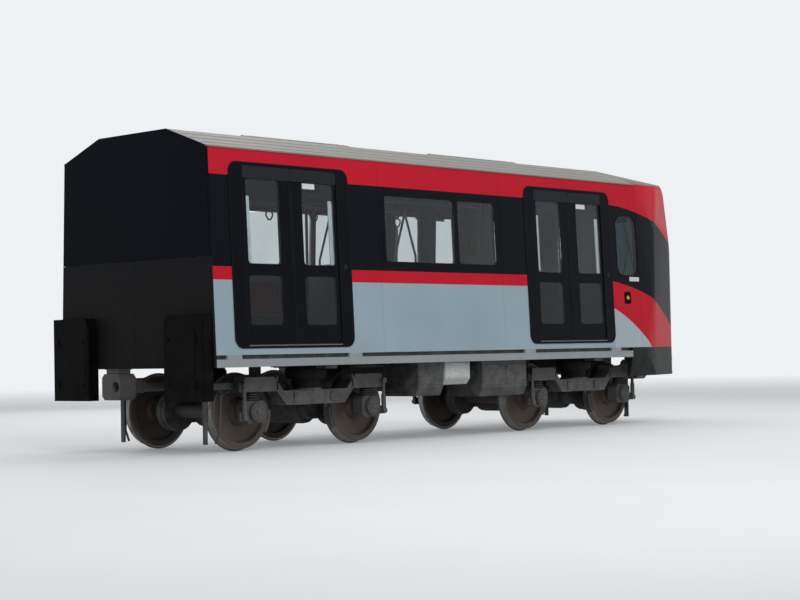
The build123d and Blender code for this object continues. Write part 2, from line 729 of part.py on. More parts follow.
def axle(x):
    """Stepped axle: body, wheel seats and journals."""
    seat = axle_radius + 15
    steps = ((axle_radius, wheel_back_y - 40), (seat, wheel_back_y + wheel_width + 22),
             (axle_radius, frame_y - 95), (journal_radius, frame_y + axlebox_width / 2 + 20))
    points, last = [(0, 0)], 0
    for radius, end in steps:
        points += [(radius, last), (radius, end)]
        last = end
    points.append((0, last))
    face = make_face(Polyline(*points, close=True).edges())
    upright = Plane(origin=(x, 0, axle_z), x_dir=(0, 0, 1), z_dir=(-1, 0, 0))
    half = revolve(upright * face, Axis((x, 0, axle_z), (0, 1, 0)))
    return half + mirror(half, about=Plane.XZ)


def bogie_frame(centre):
    """Welded frame: two dropped side frames, two cross tubes, pivot block and brake units."""
    h, m, s = frame_half_length, frame_mid_half, frame_slope
    low, high = frame_mid_z, frame_end_z
    d = frame_depth
    lower = [(-h, high), (-m - s, high), (-m, low), (m, low), (m + s, high), (h, high)]
    upper = [(h - 60, high + d), (m + s + 40, high + d), (m + 40, low + d), (-m - 40, low + d),
             (-m - s - 40, high + d), (-h + 60, high + d)]
    side = make_face(Polyline(*[(centre + x, z) for x, z in lower + upper], close=True).edges())
    frame = across(side, -frame_y + frame_width / 2, -frame_y - frame_width / 2)
    frame += mirror(frame, about=Plane.XZ)
    for x in (-transom_x, transom_x):
        frame += rod(transom_radius, (centre + x, -frame_y, transom_z), (0, 1, 0), 2 * frame_y)
    length, width, height = pivot_block
    frame += Pos(centre, 0, transom_z) * Box(length + 200, width, height * 0.6)
    frame += rod(pivot_radius + 70, (centre, 0, transom_z - height / 2), (0, 0, 1), height)
    frame -= rod(pivot_radius + bearing_gap, (centre, 0, 0), (0, 0, 1), roof_top_z)
    for hand in (-1, 1):
        seat = (centre, hand * air_spring_y, low + d)
        frame += rod(air_spring_radius * air_spring_foot + 15, seat, (0, 0, 1), spring_seat_t)
    shoe_x = bogie_wheelbase / 2 - tread_radius - running_gap - flange_height
    unit_y = wheel_back_y + wheel_width / 2 + 14
    unit_half = brake_unit_width / 2
    for end in (-1, 1):
        for hand in (-1, 1):
            x0, x1 = sorted((centre + end * transom_x, centre + end * (shoe_x - 10)))
            frame += block(x0, x1, hand * unit_y - unit_half, hand * unit_y + unit_half,
                           transom_z - 75, transom_z + unit_half)
    return frame


def axleboxes(centre):
    """Four bearing boxes on the journals."""
    boxes = []
    y0, y1 = frame_y - axlebox_width / 2, frame_y + axlebox_width / 2
    for end in (-1, 1):
        x = centre + end * bogie_wheelbase / 2
        for hand in (-1, 1):
            low, high = sorted((hand * y0, hand * y1))
            box = block(x - axlebox_half_length, x + axlebox_half_length, low, high,
                        axle_z - axlebox_half_height, axle_z + axlebox_half_height)
            box = chamfer(box.edges().filter_by(Axis.Y), 45)
            box += rod(axlebox_cap_radius, (x, hand * y1, axle_z), (0, hand, 0), axlebox_cap_length)
            reach = axlebox_width + 20 + running_gap
            box -= rod(journal_radius + bearing_gap, (x, hand * (y0 - 1), axle_z), (0, hand, 0), reach + 1)
            boxes.append(box)
    return solids_of(*boxes)


def bogie_springs(centre):
    """Rubber springs over the axleboxes and air springs under the body's bolster."""
    springs = []
    for hand in (-1, 1):
        for end in (-1, 1):
            x = centre + end * bogie_wheelbase / 2
            foot = axle_z + axlebox_half_height
            springs.append(Pos(x, hand * frame_y, (foot + frame_end_z) / 2)
                           * Cone(primary_spring_radius, primary_spring_radius * 0.72, frame_end_z - foot))
        foot = frame_mid_z + frame_depth + spring_seat_t
        height = bolster_foot_z - seat_gap - foot
        r = air_spring_radius
        shape = ((0, 0), (air_spring_foot, 0), (air_spring_foot, 0.3), (0.72, 0.35), (0.9, 0.38), (1, 0.55),
                 (1, 0.72), (0.88, 0.9), (0.8, 1), (0, 1))
        section = [(r * out, height * up) for out, up in shape]
        face = make_face(Polyline(*section, close=True).edges())
        place = Plane(origin=(centre, hand * air_spring_y, foot), x_dir=(1, 0, 0), z_dir=(0, -1, 0))
        springs.append(revolve(place * face, Axis((centre, hand * air_spring_y, 0), (0, 0, 1))))
    return solids_of(*springs)


def drives(centre):
    """Traction motor and gear case of each axle, hung from the cross tubes."""
    units = []
    for end in (-1, 1):
        axle_x = centre + end * bogie_wheelbase / 2
        motor_x = axle_x - end * motor_offset
        y_face = -end * motor_length / 2
        motor = rod(motor_radius, (motor_x, y_face, axle_z), (0, end, 0), motor_length)
        x0, x1 = sorted((motor_x, centre + end * transom_x))
        motor += block(x0, x1, -150, 150, axle_z + 60, transom_z)
        for x in (-transom_x, transom_x):
            motor -= rod(transom_radius + seal_gap, (centre + x, -frame_y, transom_z), (0, 1, 0), 2 * frame_y)
        case0 = y_face - end * gear_case_width
        case = rod(gear_case_radius, (axle_x, case0, axle_z), (0, end, 0), gear_case_width)
        case += rod(gear_case_radius * 0.62, (motor_x, case0, axle_z), (0, end, 0), gear_case_width)
        low, high = sorted((axle_x, motor_x))
        y_low, y_high = sorted((case0, y_face))
        case_z = gear_case_radius * 0.62
        case += block(low, high, y_low, y_high, axle_z - case_z, axle_z + case_z)
        case -= rod(axle_radius + running_gap, (axle_x, -reach_y, axle_z), (0, 1, 0), 2 * reach_y)
        units.append(motor + case)
    return solids_of(*units)


def underfloor_case(x, side, inset, length, width, depth):
    """Equipment case hung from the frame at one side (-1 or 1), with a sloped lower edge."""
    outer = side * (body_half_width - inset)
    inner = outer - side * width
    low_z = sole_z - depth
    points = [(inner, sole_z), (outer, sole_z), (outer, low_z + depth * case_slope),
              (outer - side * case_bevel, low_z), (inner, low_z)]
    return along(points, x - length / 2, x + length / 2)


case_slope = 0.25       # height of a case's sloped lower edge as a share of its depth
case_bevel = 60.0       # how far that edge goes in
# columns: place along, side, inset from the body's side, length, width, depth
dark_cases = ((-1110.0, -1, 110.0, 460.0, 620.0, 420.0), (330.0, -1, 110.0, 900.0, 620.0, 460.0),
              (-750.0, 1, 110.0, 1100.0, 620.0, 440.0), (420.0, 1, 110.0, 760.0, 620.0, 400.0),
              (-330.0, -1, 950.0, 1300.0, 900.0, 330.0))
light_cases = ((-610.0, -1, 100.0, 470.0, 520.0, 290.0), )
# columns: place along, half length, half width, height
roof_hoods = ((-2600.0, 900.0, 520.0, 40.0), (700.0, 900.0, 520.0, 40.0))


def roof_units():
    """Two low ventilation hoods on the flat of the roof."""
    hoods = []
    for x, half_length, half_width, height in roof_hoods:
        x0, x1 = x - half_length, x + half_length
        hood = block(x0, x1, -half_width, half_width, roof_top_z, roof_top_z + height)
        top = hood.faces().sort_by(Axis.Z)[-1]
        hoods.append(chamfer(top.edges(), height * 0.6))
    return solids_of(*hoods)


def floor_panel():
    """Floor covering of the saloon and the cab."""
    half = skin_y(floor_top_z, wall_t) - 2
    panel = block(x_shell, x_joint, -half, half, floor_top_z - floor_t, floor_top_z)
    inner = nose_solid(cab_wall_t + 2, floor_top_z - floor_t - 1, x_joint - 1)
    return panel + (block(x_joint - 1, x_nose, -half, half, floor_top_z - floor_t, floor_top_z) & inner)


cab_glass = in_side(cab_window_outline(), cab_glass_depth, cab_glass_depth + cab_glass_t)
nodes = {"underframe": underframe(), "bolsters": solids_of(*[bolster(centre) for centre in bogie_centres]),
         "draft_boxes": solids_of(draft_box(1), draft_box(-1)), "floor_panel": floor_panel(),
         "roof_shell": roof_shell(), "roof_units": roof_units(), "cab_shell": cab_shell(),
         "windscreen": windscreen(), "nose_skirt": nose_skirt(), "cab_bulkhead": cab_bulkhead(),
         "driver_desk": driver_desk(), "driver_seat": driver_seat(),
         "headlamps": solids_of(*both_sides(headlamp())),
         "sole_bars": solids_of(*both_sides(sole_bar())), "benches": solids_of(*both_sides(bench())),
         "rear_corner_boxes": solids_of(*both_sides(corner_box())),
         "grab_poles": solids_of(*both_sides(grab_rail()), *both_sides(forked_pole())),
         "cab_side_windows": solids_of(*both_sides(cab_glass))}
nodes["side_wall_right"], nodes["side_wall_left"] = both_sides(side_wall())
nodes["rear_wall_upper"] = rear_wall(end_seam_z + panel_gap / 2, roof_top_z, -reach_y, reach_y)
lower_panel = rear_wall(sole_z, end_seam_z - panel_gap / 2, -reach_y, -panel_gap / 2)
nodes["rear_wall_lower"] = solids_of(*both_sides(lower_panel))
portals = solids_of(*[door_portal(centre) for centre in door_centres])
nodes["door_portals_right"], nodes["door_portals_left"] = both_sides(portals)
leaves = solids_of(*[door_leaf(centre, side) for centre in door_centres for side in (-1, 1)])
nodes["door_leaves_right"], nodes["door_leaves_left"] = both_sides(leaves)
panes = [door_pane(centre, side, *row) for centre in door_centres for side in (-1, 1) for row in pane_rows]
nodes["door_glazing"] = solids_of(*[half for pane in panes for half in both_sides(pane)])
nodes["side_window_frames"] = solids_of(*both_sides(window_frame()))
lights = [in_side(light, pane_depth, pane_depth + pane_t) for light in window_lights()]
nodes["side_windows"] = solids_of(*[half for light in lights for half in both_sides(light)])
nodes["underfloor_cases"] = solids_of(*[underfloor_case(*row) for row in dark_cases])
nodes["light_cases"] = solids_of(*[underfloor_case(*row) for row in light_cases])
nodes["coupler_front"], nodes["coupler_rear"] = coupler(1), coupler(-1)
for place, centre in zip(("rear", "front"), bogie_centres):
    nodes[f"bogie_frame_{place}"] = bogie_frame(centre)
    nodes[f"bogie_springs_{place}"] = bogie_springs(centre)
    nodes[f"axleboxes_{place}"] = axleboxes(centre)
    nodes[f"drives_{place}"] = drives(centre)
    for number, end in ((1, -1), (2, 1)):
        nodes[f"wheels_{place}_{number}"] = wheels(centre + end * bogie_wheelbase / 2)
        nodes[f"axle_{place}_{number}"] = axle(centre + end * bogie_wheelbase / 2)

os.makedirs("parts", exist_ok=True)
for name, part in nodes.items():
    export_step(part, f"parts/{name}.step")
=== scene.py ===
import bpy, bmesh
from math import cos, pi, radians, sin, tan
from mathutils import Matrix, Vector
from mathutils.bvhtree import BVHTree


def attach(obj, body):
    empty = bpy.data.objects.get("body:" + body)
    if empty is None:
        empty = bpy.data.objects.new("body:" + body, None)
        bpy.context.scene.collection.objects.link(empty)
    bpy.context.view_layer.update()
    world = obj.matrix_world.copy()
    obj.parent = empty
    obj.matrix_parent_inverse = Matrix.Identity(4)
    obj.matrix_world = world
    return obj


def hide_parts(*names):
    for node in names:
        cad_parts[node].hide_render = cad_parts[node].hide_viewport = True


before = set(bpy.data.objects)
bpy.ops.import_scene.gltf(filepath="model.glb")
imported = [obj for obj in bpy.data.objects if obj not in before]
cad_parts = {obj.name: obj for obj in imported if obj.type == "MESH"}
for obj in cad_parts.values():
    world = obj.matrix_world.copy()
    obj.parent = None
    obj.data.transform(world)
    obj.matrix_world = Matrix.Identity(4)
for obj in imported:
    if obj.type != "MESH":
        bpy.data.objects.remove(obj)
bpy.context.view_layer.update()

# Camera: it stands where the photo was taken from, low and off the car's rear right corner.
# It is turned to the middle of the car and has a longer lens, so that the car fills the frame.
scene = bpy.context.scene
eye = Vector((-17.594, -16.269, 1.115))
heading, climb, roll = radians(46.8), radians(1.67), radians(-1.14)
camera_data = bpy.data.cameras.new("camera")
camera_data.lens, camera_data.clip_end = 80.0, 300.0
camera = bpy.data.objects.new("camera", camera_data)
camera.matrix_world = (Matrix.Translation(eye) @ Matrix.Rotation(-heading, 4, "Z")
                       @ Matrix.Rotation(pi / 2 + climb, 4, "X") @ Matrix.Rotation(roll, 4, "Z"))
scene.collection.objects.link(camera)
scene.camera = camera
scene.view_settings.view_transform = "Standard"


# Workshop floor and light: a plain pale floor of sealed concrete that keeps the car's shadow,
# with soft lamps overhead. The background is pale to the eye, to glass and to gloss alone, and
# the floor is clear from below, so that the underside shows from there.
def feed(inputs, values):
    """Set inputs to numbers and colours, or join sockets to them."""
    for key, value in dict(values).items():
        if isinstance(value, bpy.types.NodeSocket):
            inputs[key].id_data.links.new(value, inputs[key])
        else:
            inputs[key].default_value = value


def node(tree, kind, values=(), **settings):
    """One shader node, its settings made and its inputs fed."""
    made = tree.nodes.new("ShaderNode" + kind)
    for key, value in settings.items():
        setattr(made, key, value)
    feed(made.inputs, values)
    return made


def calc(operation, *values, clamp=False):
    """The result of one sum on numbers and at least one socket."""
    tree = next(value.id_data for value in values if isinstance(value, bpy.types.NodeSocket))
    return node(tree, "Math", dict(enumerate(values)), operation=operation, use_clamp=clamp).outputs[0]


def mixed(share, first, second):
    """Two colours mixed by a share."""
    return node(share.id_data, "Mix", {0: share, 6: first, 7: second}, data_type="RGBA").outputs[2]


def crossed(share, first, second):
    """Two shaders, with the second one's share."""
    return node(share.id_data, "MixShader", {0: share, 1: first, 2: second}).outputs[0]


def own_place(tree):
    """Place on a piece, measured along the car's own axes."""
    return node(tree, "TexCoord").outputs["Object"]


def along(place, axis):
    """How far a place lies along one axis."""
    return node(place.id_data, "SeparateXYZ", {0: place}).outputs[axis]


def cloudy(place, scale, detail=2.0, roughness=0.5):
    """Soft uneven pattern from 0 to 1."""
    values = {"Vector": place, "Scale": scale, "Detail": detail, "Roughness": roughness}
    return node(place.id_data, "TexNoise", values).outputs["Fac"]


def ranged(value, low=0.0, high=1.0, to_low=0.0, to_high=1.0, **settings):
    """A value spread from one range to another and held at its ends."""
    ends = dict(enumerate((value, low, high, to_low, to_high)))
    return node(value.id_data, "MapRange", ends, **settings).outputs[0]


def seen_directly(tree):
    """1 for rays from the eye, from gloss and through glass."""
    path = node(tree, "LightPath").outputs
    either = calc("MAXIMUM", path["Is Camera Ray"], path["Is Glossy Ray"])
    return calc("MAXIMUM", either, path["Is Transmission Ray"])


def blank(name, values=()):
    """A new material, its shader and the values that are the same all over it."""
    made = bpy.data.materials.new(name)
    made.use_nodes = True
    shader = made.node_tree.nodes["Principled BSDF"]
    feed(shader.inputs, values)
    return made, made.node_tree, shader


def show(tree, surface):
    """Give a material the surface that its output shows."""
    feed(tree.nodes["Material Output"].inputs, {"Surface": surface})


backdrop_white = (0.86, 0.88, 0.90, 1)
world = bpy.data.worlds.new("studio")
scene.world = world
world.use_nodes = True
sky = world.node_tree
sky.nodes.clear()
pale = node(sky, "Background", {"Color": backdrop_white, "Strength": 1.0}).outputs[0]
soft = node(sky, "Background", {"Color": (0.93, 0.97, 1.0, 1), "Strength": 0.42}).outputs[0]
node(sky, "OutputWorld", {"Surface": crossed(seen_directly(sky), soft, pale)})

concrete, tree, shader = blank("sealed_concrete", {"Roughness": 0.75, "Specular IOR Level": 0.2})
spot = own_place(tree)
tone = mixed(cloudy(spot, 0.6, 5.0), (0.56, 0.575, 0.58, 1), (0.62, 0.63, 0.63, 1))
feed(shader.inputs, {"Base Color": tone})
lift = node(tree, "Emission", {"Color": backdrop_white, "Strength": 0.22}).outputs[0]
lifted = node(tree, "AddShader", {0: shader.outputs[0], 1: lift}).outputs[0]
away = node(tree, "VectorMath", {0: spot}, operation="LENGTH").outputs["Value"]
far_off = ranged(away, 12.0, 46.0, interpolation_type="SMOOTHSTEP")
backdrop = node(tree, "Emission", {"Color": backdrop_white, "Strength": 1.0}).outputs[0]
surface = crossed(seen_directly(tree), shader.outputs[0], crossed(far_off, lifted, backdrop))
from_below = node(tree, "NewGeometry").outputs["Backfacing"]
show(tree, crossed(from_below, surface, node(tree, "BsdfTransparent").outputs[0]))
floor_mesh = bpy.data.meshes.new("studio_floor")
bm = bmesh.new()
bmesh.ops.create_grid(bm, x_segments=1, y_segments=1, size=90.0)
bm.to_mesh(floor_mesh)
bm.free()
floor_mesh.materials.append(concrete)
studio_floor = bpy.data.objects.new("studio_floor", floor_mesh)
scene.collection.objects.link(studio_floor)

for name, place, aim, size, power in (("key_lamp", (-9.0, -12.0, 10.0), (-1.0, 0.0, 1.8), 7.0, 850.0),
                                      ("fill_lamp", (7.5, -8.0, 11.0), (1.0, 0.0, 1.8), 5.0, 460.0),
                                      ("top_lamp", (0.0, 2.0, 12.0), (0.0, 0.0, 2.0), 9.0, 420.0),
                                      ("back_lamp", (6.0, 13.0, 8.0), (0.0, 0.0, 2.0), 8.0, 420.0)):
    lamp_data = bpy.data.lights.new(name, "AREA")
    lamp_data.size, lamp_data.energy = size, power
    lamp = bpy.data.objects.new(name, lamp_data)
    turn = (Vector(aim) - Vector(place)).to_track_quat("-Z", "Y").to_matrix().to_4x4()
    lamp.matrix_world = Matrix.Translation(place) @ turn
    scene.collection.objects.link(lamp)


# Body shell paint: sprayed two-pack enamel on aluminium sides. Black window band between a red
# cantrail and a red waist stripe, blue-grey below, and at the cab red bands that sweep down. The
# nose's inner skin is dark grey, and its top has the roof's grey.
def effect(name, takes, gives=("Color", "Roughness", "Height")):
    """An empty shader group with named inputs and outputs."""
    group = bpy.data.node_groups.new(name, "ShaderNodeTree")
    for direction, labels in (("INPUT", takes), ("OUTPUT", gives)):
        for label in labels:
            kind = "NodeSocketColor" if label == "Color" else "NodeSocketFloat"
            socket = group.interface.new_socket(label, in_out=direction, socket_type=kind)
            if direction == "INPUT":
                socket.default_value = takes[label]
    return group, group.nodes.new("NodeGroupInput").outputs, group.nodes.new("NodeGroupOutput").inputs


def uneven(pattern, color, darkest, lightest):
    """A colour that grows darker and lighter with a pattern."""
    tone = ranged(pattern, 0.3, 0.7, darkest, lightest)
    return node(pattern.id_data, "HueSaturation", {"Value": tone, "Color": color}).outputs[0]


paint_film, given, result = effect("paint_film", {"Color": (0.5, 0.5, 0.5, 1), "Roughness": 0.3, "Dust": 0.3})
spot = own_place(paint_film)
cloud = cloudy(spot, 0.8, 4.0)
stretched = node(paint_film, "Mapping", {"Vector": spot, "Scale": (9.0, 9.0, 0.5)}).outputs[0]
streaks = ranged(cloudy(stretched, 1.2, 6.0), 0.52, 0.75, 0.0, 0.5)
patches = ranged(cloudy(spot, 7.0, 8.0, 0.65), 0.4, 0.75)
low_down = ranged(along(spot, "Z"), 2.0, 0.4, 0.12, 1.0)
settled = calc("ADD", calc("MULTIPLY", patches, low_down), calc("MULTIPLY", streaks, 0.25))
dirt = calc("MULTIPLY", settled, given["Dust"], clamp=True)
rough = calc("MULTIPLY_ADD", dirt, 0.35, given["Roughness"])
peel, wave = cloudy(spot, 160.0), cloudy(spot, 3.0, 1.0)
toned = uneven(cloud, given["Color"], 0.93, 1.07)
feed(result, {"Color": mixed(dirt, toned, (0.235, 0.215, 0.185, 1)),
              "Roughness": calc("MULTIPLY_ADD", cloud, 0.04, rough), "Height": calc("MULTIPLY_ADD", wave, 6.0, peel)})


def surface_from(tree, shader, skin, values, bump, depth):
    """Join an effect's colour, roughness and height to the shader."""
    used = node(tree, "Group", values, node_tree=skin).outputs
    relief = node(tree, "Bump", {"Height": used["Height"], "Strength": bump, "Distance": depth}).outputs[0]
    feed(shader.inputs, {"Base Color": used["Color"], "Roughness": used["Roughness"], "Normal": relief})


def finished(name, skin, color, values, bump, depth, all_over=()):
    """A material whose surface comes from an effect, with some values the same all over."""
    made, tree, shader = blank(name, all_over)
    surface_from(tree, shader, skin, {"Color": (*color, 1), **values}, bump, depth)
    return made


def painted(name, color, roughness, dust, specular=0.5):
    """Sprayed enamel with its peel, uneven tone and settled dust."""
    return finished(name, paint_film, color, {"Roughness": roughness, "Dust": dust}, 0.25, 0.0004,
                    {"Specular IOR Level": specular})


def dress(finish, *names):
    """Give carried-over CAD nodes their finish."""
    for name in names:
        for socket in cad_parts[name].material_slots:
            socket.material = finish


sole = 0.978                    # foot of the sole bars above the wheel flanges
cab_start, cantrail_z = 2.64, 3.451     # bands sweep from the front door's portal on
stripe_low, stripe_high, band_low = sole + 0.977, sole + 1.126, sole + 2.156
visor_half, visor_low, visor_high = 1.04, 1.86, 3.32
cab_middle = (3.6, 0.0, 2.2)
red, black = (0.53, 0.012, 0.028, 1), (0.0026, 0.0040, 0.0072, 1)
blue_grey, pale_grey = (0.310, 0.395, 0.450, 1), (0.40, 0.46, 0.50, 1)
roof_grey, inner_grey = (0.218, 0.210, 0.190, 1), (0.050, 0.054, 0.056, 1)

livery, _, result = effect("livery", {}, ("Color", "Top"))
where = node(livery, "TexCoord").outputs
along_x, across_y, up_z = (along(where["Object"], axis) for axis in "XYZ")


def above(edge):
    """1 over a height on the car."""
    return calc("GREATER_THAN", up_z, edge)


def above_sweep(start, slope, bow):
    """1 over an edge that starts at the cab and falls with a slight bow."""
    out = calc("SUBTRACT", along_x, cab_start)
    line = calc("MULTIPLY_ADD", out, slope, start)
    return above(calc("MULTIPLY_ADD", calc("MULTIPLY", out, out), bow, line))


side_stripe = calc("SUBTRACT", above(stripe_low), above(stripe_high))
side_color = mixed(above(stripe_low), blue_grey, black)
side_color = mixed(calc("MAXIMUM", side_stripe, above(band_low)), side_color, red)
visor_side = calc("LESS_THAN", calc("ABSOLUTE", across_y), visor_half)
visor = calc("MULTIPLY", visor_side, calc("SUBTRACT", above(visor_low), above(visor_high)))
on_top = above(cantrail_z + 0.001)
outward = node(livery, "VectorMath", {0: where["Object"], 1: cab_middle}, operation="SUBTRACT").outputs[0]
facing = node(livery, "VectorMath", {0: outward, 1: where["Normal"]}, operation="DOT_PRODUCT").outputs["Value"]
cab_color = pale_grey
for share, color in ((above_sweep(1.675, -0.34, -0.30), red), (above_sweep(2.052, -0.115, -0.125), black),
                     (above_sweep(3.13, -0.05, -0.12), red), (visor, black),
                     (on_top, [1.1 * part for part in roof_grey]),
                     (calc("LESS_THAN", facing, 0.0), inner_grey)):
    cab_color = mixed(share, cab_color, color)
at_cab = calc("GREATER_THAN", along_x, cab_start)
feed(result, {"Color": mixed(at_cab, side_color, cab_color), "Top": on_top})

body_paint, tree, shader = blank("body_enamel", {"Specular IOR Level": 0.05})
scheme = node(tree, "Group", node_tree=livery).outputs
dullness, dustiness = (calc("MULTIPLY_ADD", scheme["Top"], *line) for line in ((0.24, 0.26), (0.35, 0.05)))
surface_from(tree, shader, paint_film, {"Color": scheme["Color"], "Roughness": dullness, "Dust": dustiness}, 0.2,
             0.0004)
dress(body_paint, "side_wall_right", "side_wall_left")


# Nose shell: the cab's outer skin, moulded in one piece of fibre-reinforced plastic and bonded to
# the side sheets. It takes the solid's own faces, joined and shaded as one curved surface.
def joined_skin(cad_name):
    """A CAD node's mesh with its facets joined."""
    bm = bmesh.new()
    bm.from_mesh(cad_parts[cad_name].data)
    bmesh.ops.remove_doubles(bm, verts=bm.verts, dist=0.00002)
    return bm


def both_sides(bm):
    """Add the mirror image on the left."""
    bmesh.ops.mirror(bm, geom=bm.verts[:] + bm.edges[:] + bm.faces[:], axis="Y", merge_dist=0)


def finish_piece(name, bm, material, body="car_body", smooth=False, replaced=(), paired=False):
    """Turn a mesh's faces outwards, mirror it if it is paired, give it its finish and let it ride on a body."""
    if paired:
        both_sides(bm)
    bmesh.ops.recalc_face_normals(bm, faces=bm.faces)
    for face in bm.faces:
        face.smooth = smooth
    mesh = bpy.data.meshes.new(name)
    bm.to_mesh(mesh)
    bm.free()
    if smooth:
        mesh.set_sharp_from_angle(angle=radians(35))
    made = bpy.data.objects.new(name, mesh)
    scene.collection.objects.link(made)
    mesh.materials.append(material)
    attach(made, body)
    if replaced:
        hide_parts(*replaced)
    return made


nose_panels = finish_piece("nose_panels", joined_skin("cab_shell"), body_paint, smooth=True,
                           replaced=("cab_shell",))
nose_panels.modifiers.new("flat_panels_stay_flat", "WEIGHTED_NORMAL").keep_sharp = True


# Rain gutters and roof beads: drawn aluminium strips bonded along the cantrails, and shallow
# beads pressed into the roof sheets to stiffen them, all sprayed with the roof.
def eased(bm, verts, ease, segments):
    """Round the edges of a new block."""
    edges = list(dict.fromkeys(edge for vert in verts for edge in vert.link_edges))
    bmesh.ops.bevel(bm, geom=edges, offset=ease, segments=segments, affect="EDGES", profile=0.5, material=-1)


def block(bm, x0, x1, y0, y1, z0, z1, ease=0.0, segments=2):
    """Block between two corners with eased edges."""
    size = Matrix.Diagonal((abs(x1 - x0), abs(y1 - y0), abs(z1 - z0), 1))
    place = Matrix.Translation(((x0 + x1) / 2, (y0 + y1) / 2, (z0 + z1) / 2))
    made = bmesh.ops.create_cube(bm, size=1.0, matrix=place @ size)["verts"]
    if ease:
        eased(bm, made, ease, segments)


def turned_to(direction):
    """The turn that brings an upright piece round to a direction."""
    return direction.to_track_quat("Z", "Y").to_matrix().to_4x4()


def rod(bm, start, end, radius, far_radius=None, sides=16):
    """Round bar or cone between two points."""
    start, end = Vector(start), Vector(end)
    bmesh.ops.create_cone(bm, cap_ends=True, segments=sides, radius1=radius,
                          radius2=radius if far_radius is None else far_radius, depth=(end - start).length,
                          matrix=Matrix.Translation((start + end) / 2) @ turned_to(end - start))


def pin(bm, x, y, z, radius, far_radius=None, sides=16):
    """Round bar or cone along the one axis that is given as a pair."""
    start, end = zip(*(span if isinstance(span, tuple) else (span, span) for span in (x, y, z)))
    rod(bm, start, end, radius, far_radius, sides)


def lean_in(bm):
    """Tip a right-hand piece inwards with the leaning side."""
    tip = Matrix(((1, 0, 0, 0), (0, 1, lean_rate, -lean_rate * sole), (0, 0, 1, 0), (0, 0, 0, 1)))
    bmesh.ops.transform(bm, matrix=tip, verts=bm.verts)


rear_x, joint_x, nose_x = -4.75, 3.3, 4.75
half_width, lean_rate = 1.4, 0.041
skin = -half_width              # right side's outer face at the sole bars
roof_z, shoulder_y, top_bead_y = 3.698, 0.618, 0.585
cantrail_y = half_width - lean_rate * (cantrail_z - sole)
roof_paint = painted("roof_enamel", roof_grey[:3], 0.5, 0.4, 0.2)
dress(roof_paint, "roof_shell")
bm = bmesh.new()
block(bm, rear_x, joint_x - 0.01, skin - 0.012, skin + 0.004, cantrail_z - 0.016, cantrail_z + 0.004, 0.003)
lean_in(bm)
beads = [(cantrail_y + (shoulder_y - cantrail_y) * share, cantrail_z + (roof_z - cantrail_z) * share)
         for share in (0.22, 0.48, 0.74)]
for y, z in (*beads, (top_bead_y, roof_z)):
    pin(bm, (rear_x + 0.06, joint_x - 0.03), -y, z - 0.005, 0.010, sides=12)
finish_piece("roof_gutters", bm, roof_paint, smooth=True, paired=True)


# Side sheet joints: the side is riveted up from three sheets. Their butt joints beside the window
# are closed with a flush bead of sealant that is painted over with the livery.
def wall_piece(name, bm, material, smooth=False):
    """Lean a right-hand piece in with the side, mirror it and finish it."""
    lean_in(bm)
    finish_piece(name, bm, material, smooth=smooth, paired=True)


wall_foot = sole + 0.137
bm = bmesh.new()
for joint in (-2.035, 0.255):
    for x in (joint - 0.004, joint + 0.004):
        block(bm, x - 0.0022, x + 0.0022, skin - 0.0016, skin + 0.004, wall_foot, cantrail_z - 0.02, 0.0008, 1)
wall_piece("sheet_joints", bm, body_paint)

# Roof ventilation hoods: two low pressed steel covers with rows of louvre blades and lifting
# eyes, bolted to the flat of the roof along their flanges.
hood_top = roof_z + 0.04
blade_foot = hood_top - 0.014
bm = bmesh.new()
for x in (-2.6, 0.7):
    block(bm, x - 0.9, x + 0.9, -0.52, 0.52, roof_z, hood_top - 0.012, 0.012)
    for side in (-1, 1):
        middle = side * 0.25
        for row in range(22):
            at = x - 0.74 + row * 0.0705
            block(bm, at - 0.014, at + 0.014, middle - 0.17, middle + 0.17, blade_foot, hood_top - 0.002, 0.003, 1)
        for y in (middle - 0.195, middle + 0.195):
            block(bm, x - 0.79, x + 0.79, y - 0.012, y + 0.012, blade_foot, hood_top, 0.003, 1)
        for eye_x in (x - 0.85, x + 0.85):
            pin(bm, eye_x, side * 0.46, (blade_foot, hood_top - 0.003), 0.014)
finish_piece("roof_hoods", bm, roof_paint, replaced=("roof_units",))


# Rear end: the closed end of the cut car, black sheet panels in a folded edge trim, with
# countersunk screws all round. The panels are bare of any sign.
def rim_of(bm, face, width):
    """Keep only the rim of a face."""
    rim = bmesh.ops.inset_region(bm, faces=[face], thickness=width, use_even_offset=True, use_boundary=True)["faces"]
    bmesh.ops.delete(bm, geom=[face], context="FACES_ONLY")
    return rim


def drawn_out(bm, faces, step):
    """Draw flat faces out into a solid."""
    moved = bmesh.ops.extrude_face_region(bm, geom=faces)["geom"]
    bmesh.ops.translate(bm, vec=step, verts=[item for item in moved if isinstance(item, bmesh.types.BMVert)])


dress(painted("end_gloss_black", (0.0018, 0.0034, 0.0072), 0.3, 0.02, 0.03), "rear_wall_upper")
dress(painted("end_satin_black", (0.0095, 0.0095, 0.0105), 0.45, 0.03, 0.05), "rear_wall_lower")
trim_black = painted("end_trim_black", (0.0055, 0.0070, 0.0100), 0.4, 0.05, 0.08)
bm = bmesh.new()
outline = [(half_width - 0.002, sole + 0.002), (cantrail_y - 0.002, cantrail_z), (shoulder_y, roof_z - 0.002)]
corners = [(-y, z) for y, z in outline] + outline[::-1]
panel = bm.faces.new([bm.verts.new((rear_x + 0.0005, y, z)) for y, z in corners])
drawn_out(bm, rim_of(bm, panel, 0.035), (-0.004, 0, 0))
seam_z = sole + 1.24
screws = [(side * (half_width - 0.02 - lean_rate * (z - sole)), z) for side in (-1, 1)
          for z in [sole + 0.12 + 0.19 * step for step in range(13)]]
screws += [(-1.25 + 0.25 * step, seam_z + offset) for step in range(11) for offset in (-0.045, 0.045)]
for y, z in screws:
    pin(bm, (rear_x + 0.001, rear_x - 0.0065), y, z, 0.011, 0.008, sides=10)
finish_piece("end_trim", bm, trim_black)

